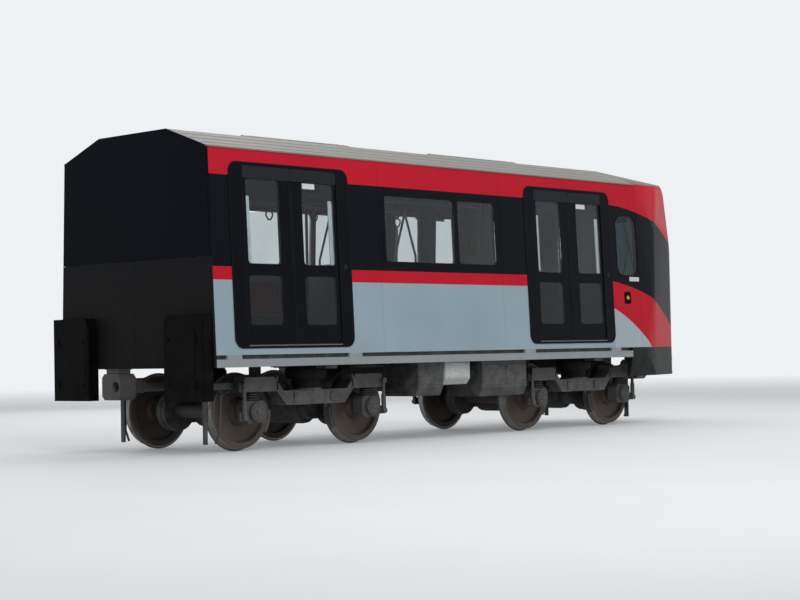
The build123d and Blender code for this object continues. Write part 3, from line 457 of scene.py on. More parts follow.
# Corner cabinets: folded steel equipment boxes on the rear end's lower corners, each with a
# lift-off lid, two pin hinges, two key latches and a row of drain louvres.
cabinet_paint = painted("cabinet_black", (0.0016, 0.0016, 0.0022), 0.5, 0.03, 0.04)
dress(cabinet_paint, "rear_corner_boxes")
back_x, hinge_y, latch_y = rear_x - 0.15, -1.255, -0.79
bm = bmesh.new()
block(bm, back_x - 0.004, back_x + 0.001, -1.235, -0.745, 0.66, 1.43, 0.002, 1)
for z in (0.80, 1.30):
    pin(bm, back_x - 0.006, hinge_y, (z - 0.05, z + 0.05), 0.009, sides=10)
    pin(bm, (back_x - 0.002, back_x - 0.011), latch_y, z, 0.018, sides=20)
    block(bm, back_x - 0.015, back_x - 0.009, latch_y - 0.003, latch_y + 0.003, z - 0.011, z + 0.011)
for row in range(6):
    z = 0.70 + row * 0.024
    block(bm, back_x - 0.009, back_x - 0.001, -1.13, -0.86, z, z + 0.010, 0.003, 1)
finish_piece("cabinet_lids", bm, cabinet_paint, paired=True)


# Door portals and leaves: black enamelled frames round double plug doors. Each frame sits in a
# rubber profile, each leaf has a bulb seal at its meeting edge, and a cover closes the drive's head.
def rounded_plate(bm, x0, x1, z0, z1, radius, y0, y1, rim=0.0, grow=0.0, segments=6):
    """Plate in the side's plane with round corners, or only its rim, grown past its own edges."""
    x0, x1, z0, z1 = x0 - grow, x1 + grow, z0 - grow, z1 + grow
    verts = [bm.verts.new((x, y0, z)) for x, z in ((x0, z0), (x1, z0), (x1, z1), (x0, z1))]
    bm.faces.new(verts)
    verts = bmesh.ops.bevel(bm, geom=verts, offset=radius, segments=segments, affect="VERTICES", profile=0.5,
                            material=-1)["verts"]
    face = max((face for vert in verts for face in vert.link_faces), key=lambda face: face.calc_area())
    drawn_out(bm, rim_of(bm, face, rim) if rim else [face], (0, y1 - y0, 0))


rubber_skin, given, result = effect("rubber_skin", {"Color": (0.02, 0.02, 0.02, 1), "Roughness": 0.6})
spot = own_place(rubber_skin)
bloom = ranged(cloudy(spot, 4.0, 6.0), 0.45, 0.8, 0.0, 0.12)
feed(result, {"Color": mixed(bloom, given["Color"], (0.055, 0.055, 0.054, 1)), "Height": cloudy(spot, 420.0),
              "Roughness": calc("MULTIPLY_ADD", bloom, 0.3, given["Roughness"])})


def rubber(name, color, roughness):
    """Moulded rubber with a faint grey bloom."""
    return finished(name, rubber_skin, color, {"Roughness": roughness}, 0.3, 0.0003, {"Specular IOR Level": 0.08})


def across_leaf(leaf, near, far):
    """Two edges on a door leaf, measured from the door's middle and put in order."""
    centre, side = leaf
    return sorted((centre + side * near, centre + side * far))


dress(painted("portal_black", (0.0020, 0.0032, 0.0056), 0.24, 0.02, 0.05), "door_portals_right",
      "door_portals_left")
dress(painted("leaf_black", (0.0022, 0.0034, 0.0058), 0.28, 0.02, 0.05), "door_leaves_right", "door_leaves_left")
seal_rubber = rubber("seal_rubber", (0.0036, 0.0038, 0.0042), 0.6)
door_centres = (-3.494, 1.71)
leaves = [(centre, side) for centre in door_centres for side in (-1, 1)]
portal_half, portal_low, portal_high = 0.9375, sole + 0.215, sole + 2.311
way_half, way_low, way_high = 0.7505, sole + 0.251, sole + 2.201
pane_rows = ((sole + 0.47, sole + 1.035), (sole + 1.165, sole + 2.14))
leaf_face = skin + 0.005
bm = bmesh.new()
for centre in door_centres:
    rounded_plate(bm, centre - portal_half, centre + portal_half, portal_low, portal_high, 0.123, skin + 0.002,
                  skin - 0.0072, rim=0.014, grow=0.008, segments=10)
    rounded_plate(bm, centre - way_half, centre + way_half, way_low, way_high, 0.06, skin + 0.006, skin - 0.0070,
                  rim=0.010, grow=0.004)
for leaf in leaves:
    block(bm, *across_leaf(leaf, 0.0035, 0.026), leaf_face - 0.004, leaf_face + 0.002, way_low + 0.01,
          way_high - 0.01, 0.002)
    for low, high in pane_rows:
        rounded_plate(bm, *across_leaf(leaf, 0.18, 0.69), low, high, 0.052, leaf_face + 0.001,
                      leaf_face - 0.0015, rim=0.011, grow=0.007)
wall_piece("door_seals", bm, seal_rubber)

header_paint = painted("header_grey", (0.0095, 0.0125, 0.0140), 0.38, 0.05, 0.1)
bm = bmesh.new()
for leaf in leaves:
    rounded_plate(bm, *across_leaf(leaf, 0.002, 0.735), way_high - 0.07, portal_high - 0.035, 0.014, skin + 0.004,
                  skin - 0.0082)
    for x in across_leaf(leaf, 0.35, 0.70):
        for z in (way_high - 0.05, portal_high - 0.055):
            pin(bm, x, (skin - 0.008, skin - 0.0098), z, 0.007, sides=10)
wall_piece("door_heads", bm, header_paint)

# Door trim: extruded aluminium thresholds with grip ribs, press buttons beside the leaves, and
# pale moulded grab strips inside the outer edge of each upper pane.
metal_grain, given, result = effect("metal_grain", {"Color": (0.6, 0.6, 0.6, 1), "Roughness": 0.35, "Stretch": 30.0})
spot = own_place(metal_grain)
run_length = node(metal_grain, "CombineXYZ", {0: 1.0, 1: given["Stretch"], 2: given["Stretch"]}).outputs[0]
drawn = node(metal_grain, "Mapping", {"Vector": spot, "Scale": run_length}).outputs[0]
lines, blot = cloudy(drawn, 14.0, 4.0), cloudy(spot, 9.0, 5.0)
smoothest = calc("SUBTRACT", given["Roughness"], 0.1)
feed(result, {"Color": uneven(lines, given["Color"], 0.88, 1.1), "Height": lines,
              "Roughness": calc("MULTIPLY_ADD", blot, 0.22, smoothest)})


def drawn_metal(name, color, roughness, stretch=30.0):
    """Brushed or drawn metal with its lines along the car."""
    values = {"Roughness": roughness, "Stretch": stretch}
    return finished(name, metal_grain, color, values, 0.2, 0.0002, {"Metallic": 1.0})


def moulded(name, color, roughness, specular=0.5):
    """Moulded plastic or laminate with a fine grain."""
    return finished(name, rubber_skin, color, {"Roughness": roughness}, 0.12, 0.0002,
                    {"Specular IOR Level": specular})


bm = bmesh.new()
for centre in door_centres:
    block(bm, centre - 0.74, centre + 0.74, skin - 0.0078, skin + 0.006, way_low - 0.018, way_low - 0.004, 0.003)
    for rib in range(4):
        z = way_low - 0.0155 + rib * 0.0034
        block(bm, centre - 0.735, centre + 0.735, skin - 0.0088, skin - 0.0075, z, z + 0.0014)
wall_piece("door_thresholds", bm, drawn_metal("threshold_aluminium", (0.16, 0.165, 0.17), 0.45))
bm = bmesh.new()
low, high = pane_rows[1]
for leaf in leaves:
    block(bm, *across_leaf(leaf, 0.625, 0.688), skin + 0.021, skin + 0.041, low + 0.01, low + (high - low) * 0.79,
          0.008, 3)
wall_piece("grab_strips", bm, moulded("strip_plastic", (0.62, 0.66, 0.69), 0.4), smooth=True)
bm = bmesh.new()
for centre in door_centres:
    rounded_plate(bm, centre + 0.20, centre + 0.40, high - 0.082, high - 0.018, 0.006, leaf_face + 0.0018,
                  leaf_face + 0.0002)
wall_piece("blank_notices", bm, painted("notice_white", (0.66, 0.67, 0.68), 0.4, 0.1))
button_z = 2.13
bm = bmesh.new()
for centre in door_centres:
    pin(bm, centre + 0.845, (skin - 0.004, skin - 0.0105), button_z, 0.034, 0.030, sides=28)
    pin(bm, centre + 0.845, (skin - 0.0105, skin - 0.0135), button_z, 0.020, 0.018, sides=24)
wall_piece("door_buttons", bm, header_paint, smooth=True)


# Glass: laminated panes, lightly tinted in the doors and the saloon, nearly black in the cab's
# sides. They are bonded into their frames, and lamps shine through them. The door panes below the
# cross rail are darker, as painted shade for the dim floor inside.
def glass(name, tint, painted_shade_tint=None, roughness=0.0):
    """Clear or tinted pane that lets lamps through. Below a door's rail it is darker, as painted shade."""
    made, tree, shader = blank(name, {"Transmission Weight": 1.0, "IOR": 1.31})
    spot = own_place(tree)
    smear = cloudy(spot, 5.0, 7.0)
    # Below the rail the darker colour is painted shade for the dim inside seen through the lower panes.
    clear = mixed(calc("GREATER_THAN", along(spot, "Z"), rail_z), (*(painted_shade_tint or tint), 1), (*tint, 1))
    feed(shader.inputs, {"Roughness": ranged(smear, 0.45, 0.8, roughness, roughness + 0.012),
                         "Base Color": mixed(calc("MULTIPLY", smear, 0.12), clear, (0.2, 0.2, 0.2, 1))})
    passed = node(tree, "BsdfTransparent", {"Color": clear}).outputs[0]
    show(tree, crossed(node(tree, "LightPath").outputs["Is Shadow Ray"], shader.outputs[0], passed))
    return made


rail_z = sole + 1.1             # a door leaf's cross rail, between its two panes
# The second colour is painted shade: the door panes below the rail are darkened for the dim floor behind them.
dress(glass("door_glass", (0.68, 0.72, 0.73), (0.16, 0.19, 0.21)), "door_glazing")
dress(glass("saloon_glass", (0.84, 0.88, 0.88)), "side_windows")
dress(glass("cab_glass", (0.012, 0.035, 0.045)), "cab_side_windows")
dress(glass("screen_glass", (0.62, 0.68, 0.68)), "windscreen")

# Side windows: a black bonded frame with one mullion off centre, a rubber lip round each of its
# two fixed panes, and a rubber lip round the cab's side pane.
dress(painted("window_frame_black", (0.0026, 0.0038, 0.0060), 0.3, 0.02, 0.05), "side_window_frames")
window_low, window_high = sole + 1.196 + 0.042, sole + 2.092 - 0.042
bm = bmesh.new()
for x0, x1 in ((-1.93, -0.648), (-0.586, 0.146)):
    rounded_plate(bm, x0, x1, window_low, window_high, 0.055, skin + 0.002, skin - 0.0042, rim=0.011, grow=0.006,
                  segments=8)
rounded_plate(bm, 2.781, 3.283, sole + 1.146, sole + 2.014, 0.152, skin + 0.004, skin - 0.003, rim=0.014,
              segments=12)
wall_piece("window_seals", bm, seal_rubber)

# Cab side fittings: a blank white plate, and a small black recess with a yellow turn handle for
# opening the doors from outside.
handle_x, handle_z = 2.995, sole + 0.84
bm = bmesh.new()
rounded_plate(bm, 3.06, 3.29, sole + 1.076, sole + 1.136, 0.008, skin + 0.001, skin - 0.003)
wall_piece("blank_plates", bm, painted("plate_white", (0.62, 0.64, 0.66), 0.35, 0.2))
bm = bmesh.new()
rounded_plate(bm, handle_x - 0.075, handle_x + 0.075, handle_z - 0.085, handle_z + 0.085, 0.02, skin + 0.001,
              skin - 0.004)
rounded_plate(bm, handle_x - 0.06, handle_x + 0.06, handle_z - 0.07, handle_z + 0.07, 0.012, skin - 0.003,
              skin - 0.008, rim=0.012)
wall_piece("release_boxes", bm, cabinet_paint)
bm = bmesh.new()
pin(bm, handle_x, (skin - 0.003, skin - 0.011), handle_z, 0.030, 0.027, sides=24)
block(bm, handle_x - 0.007, handle_x + 0.007, skin - 0.018, skin - 0.010, handle_z - 0.03, handle_z + 0.03, 0.003)
wall_piece("release_handles", bm, painted("handle_yellow", (0.62, 0.42, 0.02), 0.35, 0.3), smooth=True)


# Saloon lining: pale laminate panels clipped to the walls, dark sloping covers over the door
# drives, a white ceiling with two light strips, and speckled rubber flooring.
def drawn_along(bm, outline, x0, x1):
    """A (Y, Z) outline drawn out along the car."""
    drawn_out(bm, [bm.faces.new([bm.verts.new((x0, y, z)) for y, z in outline])], (x1 - x0, 0, 0))


lining = moulded("lining_laminate", (0.45, 0.47, 0.46), 0.4)
cover_plastic = moulded("cover_plastic", (0.020, 0.022, 0.021), 0.45, 0.1)
saloon_rear, saloon_front = -4.705, 2.66
inner, floor_z = skin + 0.083, sole + 0.225
panel_low, panel_high = floor_z + 0.002, cantrail_z - 0.01
bm = bmesh.new()
for x0, x1, low, high in ((-4.71, -4.44, panel_low, panel_high), (-2.545, -1.985, panel_low, panel_high),
                          (0.205, 0.76, panel_low, panel_high), (-1.985, 0.205, panel_low, window_low - 0.05),
                          (-1.985, 0.205, window_high + 0.05, panel_high)):
    block(bm, x0, x1, inner, inner + 0.012, low, high, 0.004, 1)
lean_in(bm)
both_sides(bm)
block(bm, rear_x + 0.032, rear_x + 0.044, -1.21, 1.21, panel_low, cantrail_z - 0.03, 0.004, 1)
finish_piece("saloon_lining", bm, lining)

bm = bmesh.new()
drawn_along(bm, [(-1.212, 3.075), (-1.196, 3.06), (-1.02, 3.40), (-0.84, 3.50), (-0.845, 3.51), (-1.03, 3.415)],
            saloon_rear, saloon_front)
finish_piece("drive_covers", bm, cover_plastic, paired=True)
bm = bmesh.new()
drawn_along(bm, [(-0.84, 3.495), (-0.60, 3.585), (0.60, 3.585), (0.84, 3.495), (0.84, 3.505), (0.605, 3.595),
                 (-0.605, 3.595), (-0.84, 3.505)], saloon_rear, saloon_front)
finish_piece("saloon_ceiling", bm, moulded("ceiling_white", (0.72, 0.72, 0.71), 0.5))
strip_light, tree, shader = blank("strip_light", {"Roughness": 0.5, "Emission Strength": 0.12})
shine = mixed(cloudy(own_place(tree), 3.0), (0.92, 0.96, 1.0, 1), (1.0, 0.99, 0.96, 1))
feed(shader.inputs, {"Emission Color": shine, "Base Color": shine})
bm = bmesh.new()
for y in (-0.50, 0.50):
    block(bm, -4.6, 2.55, y - 0.045, y + 0.045, 3.574, 3.587, 0.004)
finish_piece("strip_lights", bm, strip_light)
flooring, tree, shader = blank("speckled_flooring", {"Specular IOR Level": 0.3})
spot = own_place(tree)
chips = node(tree, "TexVoronoi", {"Vector": spot, "Scale": 260.0}).outputs["Color"]
light_chip = calc("GREATER_THAN", along(chips, "X"), 0.82)
worn = cloudy(spot, 2.2, 6.0)
ground = mixed(worn, (0.055, 0.06, 0.066, 1), (0.10, 0.105, 0.11, 1))
feed(shader.inputs, {"Base Color": mixed(light_chip, ground, (0.30, 0.31, 0.32, 1)),
                     "Roughness": ranged(worn, to_low=0.4, to_high=0.75)})
dress(flooring, "floor_panel")

# Seats and grab rails: one moulded bench shell a side with six seat pans, steel posts and rails,
# hanging loops, and laminate draught screens at the bench ends.
dress(moulded("bench_shell", (0.20, 0.22, 0.24), 0.35), "benches")
# The posts' near-black grey is partly painted shade: it makes them as dark as posts lit from behind.
dress(painted("pole_dark_grey", (0.016, 0.017, 0.018), 0.35, 0.1, 0.3), "grab_poles")
bench_rear, seat_pitch, seat_z = -2.4965, 0.5348, floor_z + 0.455
bm = bmesh.new()
for seat in range(6):
    x = bench_rear + seat_pitch / 2 + seat * seat_pitch
    block(bm, x - 0.225, x + 0.225, -1.17, -0.845, seat_z - 0.002, seat_z + 0.018, 0.009, 3)
    back = bmesh.ops.create_cube(bm, size=1.0, matrix=Matrix.Translation((x, -1.196, seat_z + 0.225))
                                 @ Matrix.Rotation(radians(5.5), 4, "X") @ Matrix.Diagonal((0.45, 0.022, 0.37, 1)))
    eased(bm, back["verts"], 0.009, 3)
finish_piece("seat_pans", bm, moulded("seat_pan_red", (0.32, 0.012, 0.02), 0.35), smooth=True,
             paired=True)
bm = bmesh.new()
screen_top = floor_z + 0.95
for x in (-2.5165, 0.7325):
    block(bm, x - 0.012, x + 0.012, -1.225, -0.585, floor_z + 0.002, screen_top, 0.006)
    block(bm, x - 0.018, x + 0.018, -1.21, -0.565, screen_top, screen_top + 0.035, 0.008)
finish_piece("draught_screens", bm, lining, paired=True)


def pipe(bm, points, radius, sides=10):
    """Bent pipe: a ring drawn from point to point and mitred at each bend."""
    points = [Vector(point) for point in points]
    runs = [(b - a).normalized() for a, b in zip(points, points[1:])]
    cuts = [(a + b).normalized() for a, b in zip(runs, runs[1:])] + [runs[-1]]
    ring = bmesh.ops.create_circle(bm, cap_ends=True, segments=sides, radius=radius,
                                   matrix=Matrix.Translation(points[0]) @ turned_to(runs[0]))["verts"]
    face = ring[0].link_faces[0]
    for point, run, cut in zip(points[1:], runs, cuts):
        grown = bmesh.ops.extrude_face_region(bm, geom=[face])["geom"]
        face = next(item for item in grown if isinstance(item, bmesh.types.BMFace))
        for vert in face.verts:
            vert.co += run * ((point - vert.co).dot(cut) / run.dot(cut))


rail_y = -0.56
half_loop = [(0.0, 1.757), (0.052, 1.735), (0.060, 1.70), (0.022, 1.645)]
loop = half_loop + [(-reach, up) for reach, up in reversed(half_loop)]
bm = bmesh.new()
for step in range(7):
    x = -2.1 + step * 0.4
    pin(bm, x, rail_y, (floor_z + 1.83, floor_z + 1.755), 0.012, 0.009, sides=10)
    pipe(bm, [(x + reach, rail_y, floor_z + up) for reach, up in loop], 0.010, sides=8)
finish_piece("hanging_loops", bm, cover_plastic, smooth=True, paired=True)

# Cab: a laminate bulkhead with a door, and a dark moulded desk with two screens, a controller
# handle and rows of push buttons under an instrument hood.
dress(moulded("bulkhead_grey", (0.10, 0.11, 0.10), 0.5, 0.2), "cab_bulkhead")
dress(moulded("desk_black", (0.022, 0.023, 0.026), 0.55, 0.2), "driver_desk", "driver_seat")
bulkhead_x = 2.6775
door_top, lock_z = floor_z + 2.0, floor_z + 1.0
bm = bmesh.new()
for x0, x1 in ((bulkhead_x - 0.006, bulkhead_x + 0.001), (bulkhead_x + 0.049, bulkhead_x + 0.056)):
    for y0, y1, z0, z1 in ((-0.40, -0.375, floor_z + 0.002, door_top), (0.375, 0.40, floor_z + 0.002, door_top),
                           (-0.40, 0.40, door_top, door_top + 0.025), (0.28, 0.34, lock_z, lock_z + 0.16)):
        block(bm, x0, x1, y0, y1, z0, z1, 0.002, 1)
finish_piece("bulkhead_door", bm, drawn_metal("post_steel", (0.62, 0.62, 0.61), 0.25, 8.0))
pane_low, pane_high = floor_z + 1.148, floor_z + 1.852
bm = bmesh.new()
block(bm, bulkhead_x + 0.016, bulkhead_x + 0.024, -0.258, 0.258, pane_low + 0.004, pane_high - 0.004, 0.003)
for x in (bulkhead_x - 0.004, bulkhead_x + 0.054):
    for y in (-0.262, 0.262):
        block(bm, x - 0.005, x + 0.005, y - 0.016, y + 0.016, pane_low - 0.018, pane_high + 0.018, 0.003)
    for z in (pane_low, pane_high):
        block(bm, x - 0.005, x + 0.005, -0.25, 0.25, z - 0.014, z + 0.014, 0.003)
finish_piece("bulkhead_pane", bm, moulded("smoked_pane", (0.006, 0.007, 0.008), 0.15, 0.3))
desk_z = floor_z + 0.72
bm = bmesh.new()
for y in (-0.34, 0.08):
    tilt = Matrix.Translation((4.15, y, desk_z + 0.115)) @ Matrix.Rotation(radians(-52), 4, "Y")
    bmesh.ops.create_cube(bm, size=1.0, matrix=tilt @ Matrix.Diagonal((0.20, 0.30, 0.02, 1)))
for row in range(2):
    x, z = 3.94 + row * 0.06, desk_z + 0.008 + row * 0.009
    for step in range(12):
        y = -0.66 + step * 0.12
        block(bm, x, x + 0.03, y, y + 0.03, z, z + 0.024, 0.004, 1)
rod(bm, (3.96, 0.52, desk_z + 0.01), (3.93, 0.52, desk_z + 0.13), 0.012, sides=12)
pin(bm, 3.93, (0.48, 0.56), desk_z + 0.13, 0.018, sides=14)
finish_piece("desk_fittings", bm, cover_plastic)

# Skirt, sole bars and underframe: a black moulded skirt round the nose, painted sole bars along
# the sides, and a welded steel frame in dark chassis paint with pipes and cable trays under it.
chassis_paint = painted("chassis_black", (0.020, 0.020, 0.021), 0.55, 0.8)
skirt_paint = painted("skirt_black", (0.0050, 0.0056, 0.0064), 0.42, 0.12, 0.15)
dress(chassis_paint, "underframe", "bolsters", "draft_boxes")
dress(skirt_paint, "nose_skirt")
dress(painted("sole_bar_grey", (0.27, 0.30, 0.32), 0.4, 0.55), "sole_bars")
bm = bmesh.new()
for y, z, radius in ((0.62, 0.955, 0.016), (0.68, 0.955, 0.016), (0.74, 0.958, 0.011), (-0.70, 0.952, 0.021)):
    pipe(bm, [(-1.95, y, z), (-0.2, y, z), (-0.1, y * 0.97, z), (1.35, y * 0.97, z)], radius)
for x in (-1.7, -0.9, 0.1, 0.95):
    for y in (0.68, -0.70):
        block(bm, x - 0.02, x + 0.02, y - 0.10, y + 0.10, sole - 0.016, sole, 0.003, 1)
finish_piece("underfloor_pipes", bm, chassis_paint, smooth=True)


# Windscreen surround, wiper and display: a black rubber profile holds the bonded screen, a steel
# arm carries one blade, and a blank display stands behind the glass. All trim on the curved nose
# is laid on its own faces, found by a ray from ahead.
def on_nose(y, z, lift=0.0):
    """Place on the nose straight ahead of a point, raised along the skin's normal."""
    place, normal = nose.ray_cast(Vector((nose_x + 1, y, z)), Vector((-1, 0, 0)))[:2]
    return place + normal * (lift if normal.x > 0 else -lift)


def neighbours(ring):
    """Each member of a closed ring between the ones before and after it."""
    return zip(ring[-1:] + ring[:-1], ring, ring[1:] + ring[:1])


def loop_points(corners, radius, steps=6, runs=12):
    """Points round a (Y, Z) polygon with round corners."""
    arcs = []
    for before, here, after in neighbours([Vector(corner) for corner in corners]):
        back, on = (before - here).normalized(), (after - here).normalized()
        half = back.angle(on) / 2
        centre = here + (back + on).normalized() * radius / sin(half)
        reach = radius / tan(half)
        first, last = here + back * reach - centre, here + on * reach - centre
        arcs.append([centre + first.slerp(last, step / steps) * radius for step in range(steps + 1)])
    points = []
    for arc, follow in zip(arcs, arcs[1:] + arcs[:1]):
        points += arc + [arc[-1].lerp(follow[0], step / runs) for step in range(1, runs)]
    return points


def widened(points, grow):
    """A closed line of points moved outwards."""
    runs = [(after - before).normalized() for before, _, after in neighbours(points)]
    return [here + Vector((run.y, -run.x)) * grow for here, run in zip(points, runs)]


def nose_band(bm, inner, outer, lift, sink=-0.002, closed=True):
    """Strip on the nose between two lines, from one height over its skin to another."""
    rings = [[bm.verts.new(on_nose(y, z, rise)) for y, z in line]
             for line, rise in ((inner, sink), (inner, lift), (outer, lift), (outer, sink))]
    for i in range(len(inner) if closed else len(inner) - 1):
        j = (i + 1) % len(inner)
        for a, b in zip(rings, rings[1:] + rings[:1]):
            bm.faces.new((a[i], a[j], b[j], b[i]))
    if not closed:
        bm.faces.new([ring[0] for ring in rings])
        bm.faces.new([ring[-1] for ring in reversed(rings)])


def nose_seam(bm, line, inwards, outwards, lift):
    """Closed band along a line on the nose."""
    nose_band(bm, widened(line, -inwards), widened(line, outwards), lift)


def nose_strip(bm, line, half, lift, sink=-0.002):
    """Open strip along a line on the nose, half its width to either side."""
    nose_band(bm, [point - half for point in line], [point + half for point in line], lift, sink, closed=False)


nose_mesh = bmesh.new()
for name in ("cab_shell", "windscreen", "nose_skirt", "headlamps"):
    nose_mesh.from_mesh(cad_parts[name].data)
nose = BVHTree.FromBMesh(nose_mesh)
nose_mesh.free()
bm = bmesh.new()
nose_seam(bm, loop_points([(-0.96, 1.94), (0.96, 1.94), (0.86, 3.24), (-0.86, 3.24)], 0.11), 0.016, 0.014, 0.006)
nose_seam(bm, loop_points([(-0.36, 1.16), (0.36, 1.16), (0.34, 1.36), (-0.34, 1.36)], 0.03), 0.002, 0.002, 0.001)
finish_piece("nose_seals", bm, seal_rubber, smooth=True)
bm = bmesh.new()
pivot_y, pivot_z = 0.05, 1.885
pipe(bm, [on_nose(pivot_y, pivot_z, 0.030), on_nose(-0.10, 2.20, 0.036), on_nose(-0.22, 2.45, 0.036),
          on_nose(-0.33, 2.68, 0.030)], 0.009)
rod(bm, on_nose(pivot_y, pivot_z, -0.004), on_nose(pivot_y, pivot_z, 0.040), 0.026, 0.020, sides=20)
blade = [Vector((-0.34, 2.33 + step * 0.06)) for step in range(13)]
nose_strip(bm, blade, Vector((0.007, 0)), 0.022, 0.010)
nose_strip(bm, blade, Vector((0.002, 0)), 0.011, 0.0005)
finish_piece("windscreen_wiper", bm, seal_rubber, smooth=True)
bm = bmesh.new()
display_x = min(on_nose(y, z).x for y in (0.0, 0.5) for z in (3.0, 3.2)) - 0.06
block(bm, display_x - 0.09, display_x, -0.52, 0.52, 2.99, 3.19, 0.008)
block(bm, display_x - 0.002, display_x + 0.004, -0.49, 0.49, 3.02, 3.16, 0.002)
finish_piece("destination_display", bm, cover_plastic)

# Headlamps: a clear moulded cover over a black tub with two spun reflectors, a red tail lamp and
# a white light guide along the upper edge.
tub = joined_skin("headlamps")
bmesh.ops.recalc_face_normals(tub, faces=tub.faces)
cover = tub.copy()
for part, thickness, drop_front in ((cover, 0.003, False), (tub, 0.002, True)):
    dropped = [face for face in part.faces if (face.normal.x >= 0.3) == drop_front]
    bmesh.ops.delete(part, geom=dropped, context="FACES")
    bmesh.ops.solidify(part, geom=part.faces[:], thickness=thickness)
finish_piece("lamp_covers", cover, glass("lamp_glass", (0.88, 0.90, 0.92), roughness=0.02), smooth=True,
             replaced=("headlamps",))
finish_piece("lamp_tubs", tub, moulded("lamp_tub_black", (0.010, 0.010, 0.011), 0.4, 0.3),
             replaced=("headlamps",))
bowls, bulbs = bmesh.new(), bmesh.new()
for y, z, radius, bm in ((-0.745, 1.587, 0.050, bowls), (-0.625, 1.562, 0.050, bowls),
                         (-0.838, 1.612, 0.028, bulbs)):
    mouth = on_nose(y, z, -0.010)
    ahead = (mouth - on_nose(y, z, -0.020)).normalized()
    rod(bm, mouth, mouth - ahead * 0.006, radius + 0.004, sides=32)
    bmesh.ops.create_cone(bowls, cap_ends=False, segments=32, radius1=radius * 0.4, radius2=radius, depth=0.026,
                          matrix=Matrix.Translation(mouth - ahead * 0.012) @ turned_to(ahead))
    if bm is bowls:
        front = min(bowls.faces, key=lambda face: (face.calc_center_median() - mouth).length)
        bmesh.ops.delete(bowls, geom=[front], context="FACES_ONLY")
    bmesh.ops.create_uvsphere(bm, u_segments=16, v_segments=8, radius=radius * 0.36,
                              matrix=Matrix.Translation(mouth - ahead * 0.020))
finish_piece("lamp_reflectors", bowls, drawn_metal("lamp_chrome", (0.80, 0.81, 0.82), 0.14, 4.0),
             smooth=True, paired=True)
finish_piece("tail_lamps", bulbs, moulded("lens_red", (0.30, 0.006, 0.006), 0.2), smooth=True,
             paired=True)
bm = bmesh.new()
pipe(bm, [on_nose(y, z, -0.010) for y, z in ((-0.86, 1.690), (-0.78, 1.672), (-0.70, 1.652), (-0.62, 1.632),
                                             (-0.545, 1.612), (-0.560, 1.55), (-0.572, 1.49))], 0.005)
finish_piece("light_guides", bm, moulded("light_guide", (0.75, 0.77, 0.78), 0.3), smooth=True,
             paired=True)
bm = bmesh.new()
lamp_line = loop_points([(-0.905, 1.518), (-0.56, 1.458), (-0.52, 1.628), (-0.88, 1.718)], 0.04, runs=6)
nose_seam(bm, lamp_line, 0.005, 0.005, 0.003)
finish_piece("lamp_bezels", bm, seal_rubber, smooth=True, paired=True)

# Skirt fittings: pressed anti-climb ribs beside the coupler, the blades of the horn's grille and
# the button bolts that hold the moulded skirt to its brackets.
bm = bmesh.new()
for z in (1.005, 1.040, 1.075):
    nose_strip(bm, [Vector((-0.95 + 0.05 * step, z)) for step in range(11)], Vector((0, 0.008)), 0.012)
for row in range(5):
    z = 0.80 + 0.022 * row
    nose_strip(bm, [Vector((-0.82 + 0.04 * step, z)) for step in range(6)], Vector((0, 0.004)), 0.005)
for y in (-1.02, -0.90, -0.70, -0.50):
    for z in (0.735, 0.945):
        rod(bm, on_nose(y, z, -0.002), on_nose(y, z, 0.006), 0.012, 0.010, sides=12)
finish_piece("skirt_fittings", bm, skirt_paint, paired=True)

# Equipment cases: welded boxes hung under the floor, dark grey on the near side and one pale,
# each with a hinged lid, key latches and a stiffened rim.
case_paint = painted("case_grey", (0.028, 0.030, 0.033), 0.5, 0.5)
pale_case_paint = painted("case_pale", (0.52, 0.54, 0.53), 0.42, 0.5)
dress(case_paint, "underfloor_cases")
dress(pale_case_paint, "light_cases")
bm = bmesh.new()
for x, side, length, depth in ((-1.11, -1, 0.46, 0.42), (0.33, -1, 0.90, 0.46), (-0.75, 1, 1.10, 0.44),
                               (0.42, 1, 0.76, 0.40)):
    y = side * 1.29
    low = sole - depth * 0.75 + 0.03
    panels = 2 if length > 0.7 else 1
    for panel in range(panels):
        x0 = x - length / 2 + 0.025 + panel * (length / panels)
        x1 = x0 + length / panels - 0.05
        block(bm, x0, x1, y - side * 0.001, y + side * 0.006, low, sole - 0.05, 0.003, 1)
        for z in (low + 0.05, sole - 0.09):
            pin(bm, x1 - 0.04, (y, y + side * 0.013), z, 0.012, sides=14)
            block(bm, x0 + 0.02, x0 + 0.05, y, y + side * 0.012, z - 0.02, z + 0.02, 0.003, 1)
        for row in range(5):
            z = low + 0.11 + row * 0.022
            block(bm, x0 + 0.08, x1 - 0.10, y, y + side * 0.010, z, z + 0.009, 0.002, 1)
finish_piece("case_lids", bm, case_paint)
bm = bmesh.new()
block(bm, -0.825, -0.395, -1.306, -1.299, sole - 0.205, sole - 0.015, 0.003, 1)
for x in (-0.79, -0.43):
    for z in (sole - 0.03, sole - 0.19):
        pin(bm, x, (-1.30, -1.313), z, 0.011, sides=14)
block(bm, -0.66, -0.56, -1.318, -1.305, sole - 0.12, sole - 0.10, 0.004)
finish_piece("pale_case_lid", bm, pale_case_paint)

# Couplers: cast steel automatic couplers with a machined face, a guide cone, bolted face plate
# rims, a lidded contact box above the head and an uncoupling lever.
cast_skin, given, result = effect("cast_skin", {"Color": (0.05, 0.05, 0.05, 1), "Roughness": 0.6, "Rust": 0.3})
spot = own_place(cast_skin)
coarse, sandy = cloudy(spot, 9.0, 9.0, 0.65), cloudy(spot, 190.0, 3.0)
bloom = ranged(coarse, 0.48, 0.66)
rusty = calc("MULTIPLY", bloom, given["Rust"], clamp=True)
toned = uneven(coarse, given["Color"], 0.75, 1.25)
feed(result, {"Color": mixed(rusty, toned, (0.13, 0.055, 0.022, 1)),
              "Roughness": calc("MULTIPLY_ADD", rusty, 0.3, given["Roughness"]),
              "Height": calc("MULTIPLY_ADD", coarse, 0.6, sandy)})


def casting(name, color, roughness, rust):
    """Cast or forged steel with a sandy skin and some rust."""
    return finished(name, cast_skin, color, {"Roughness": roughness, "Rust": rust}, 0.5, 0.0008)


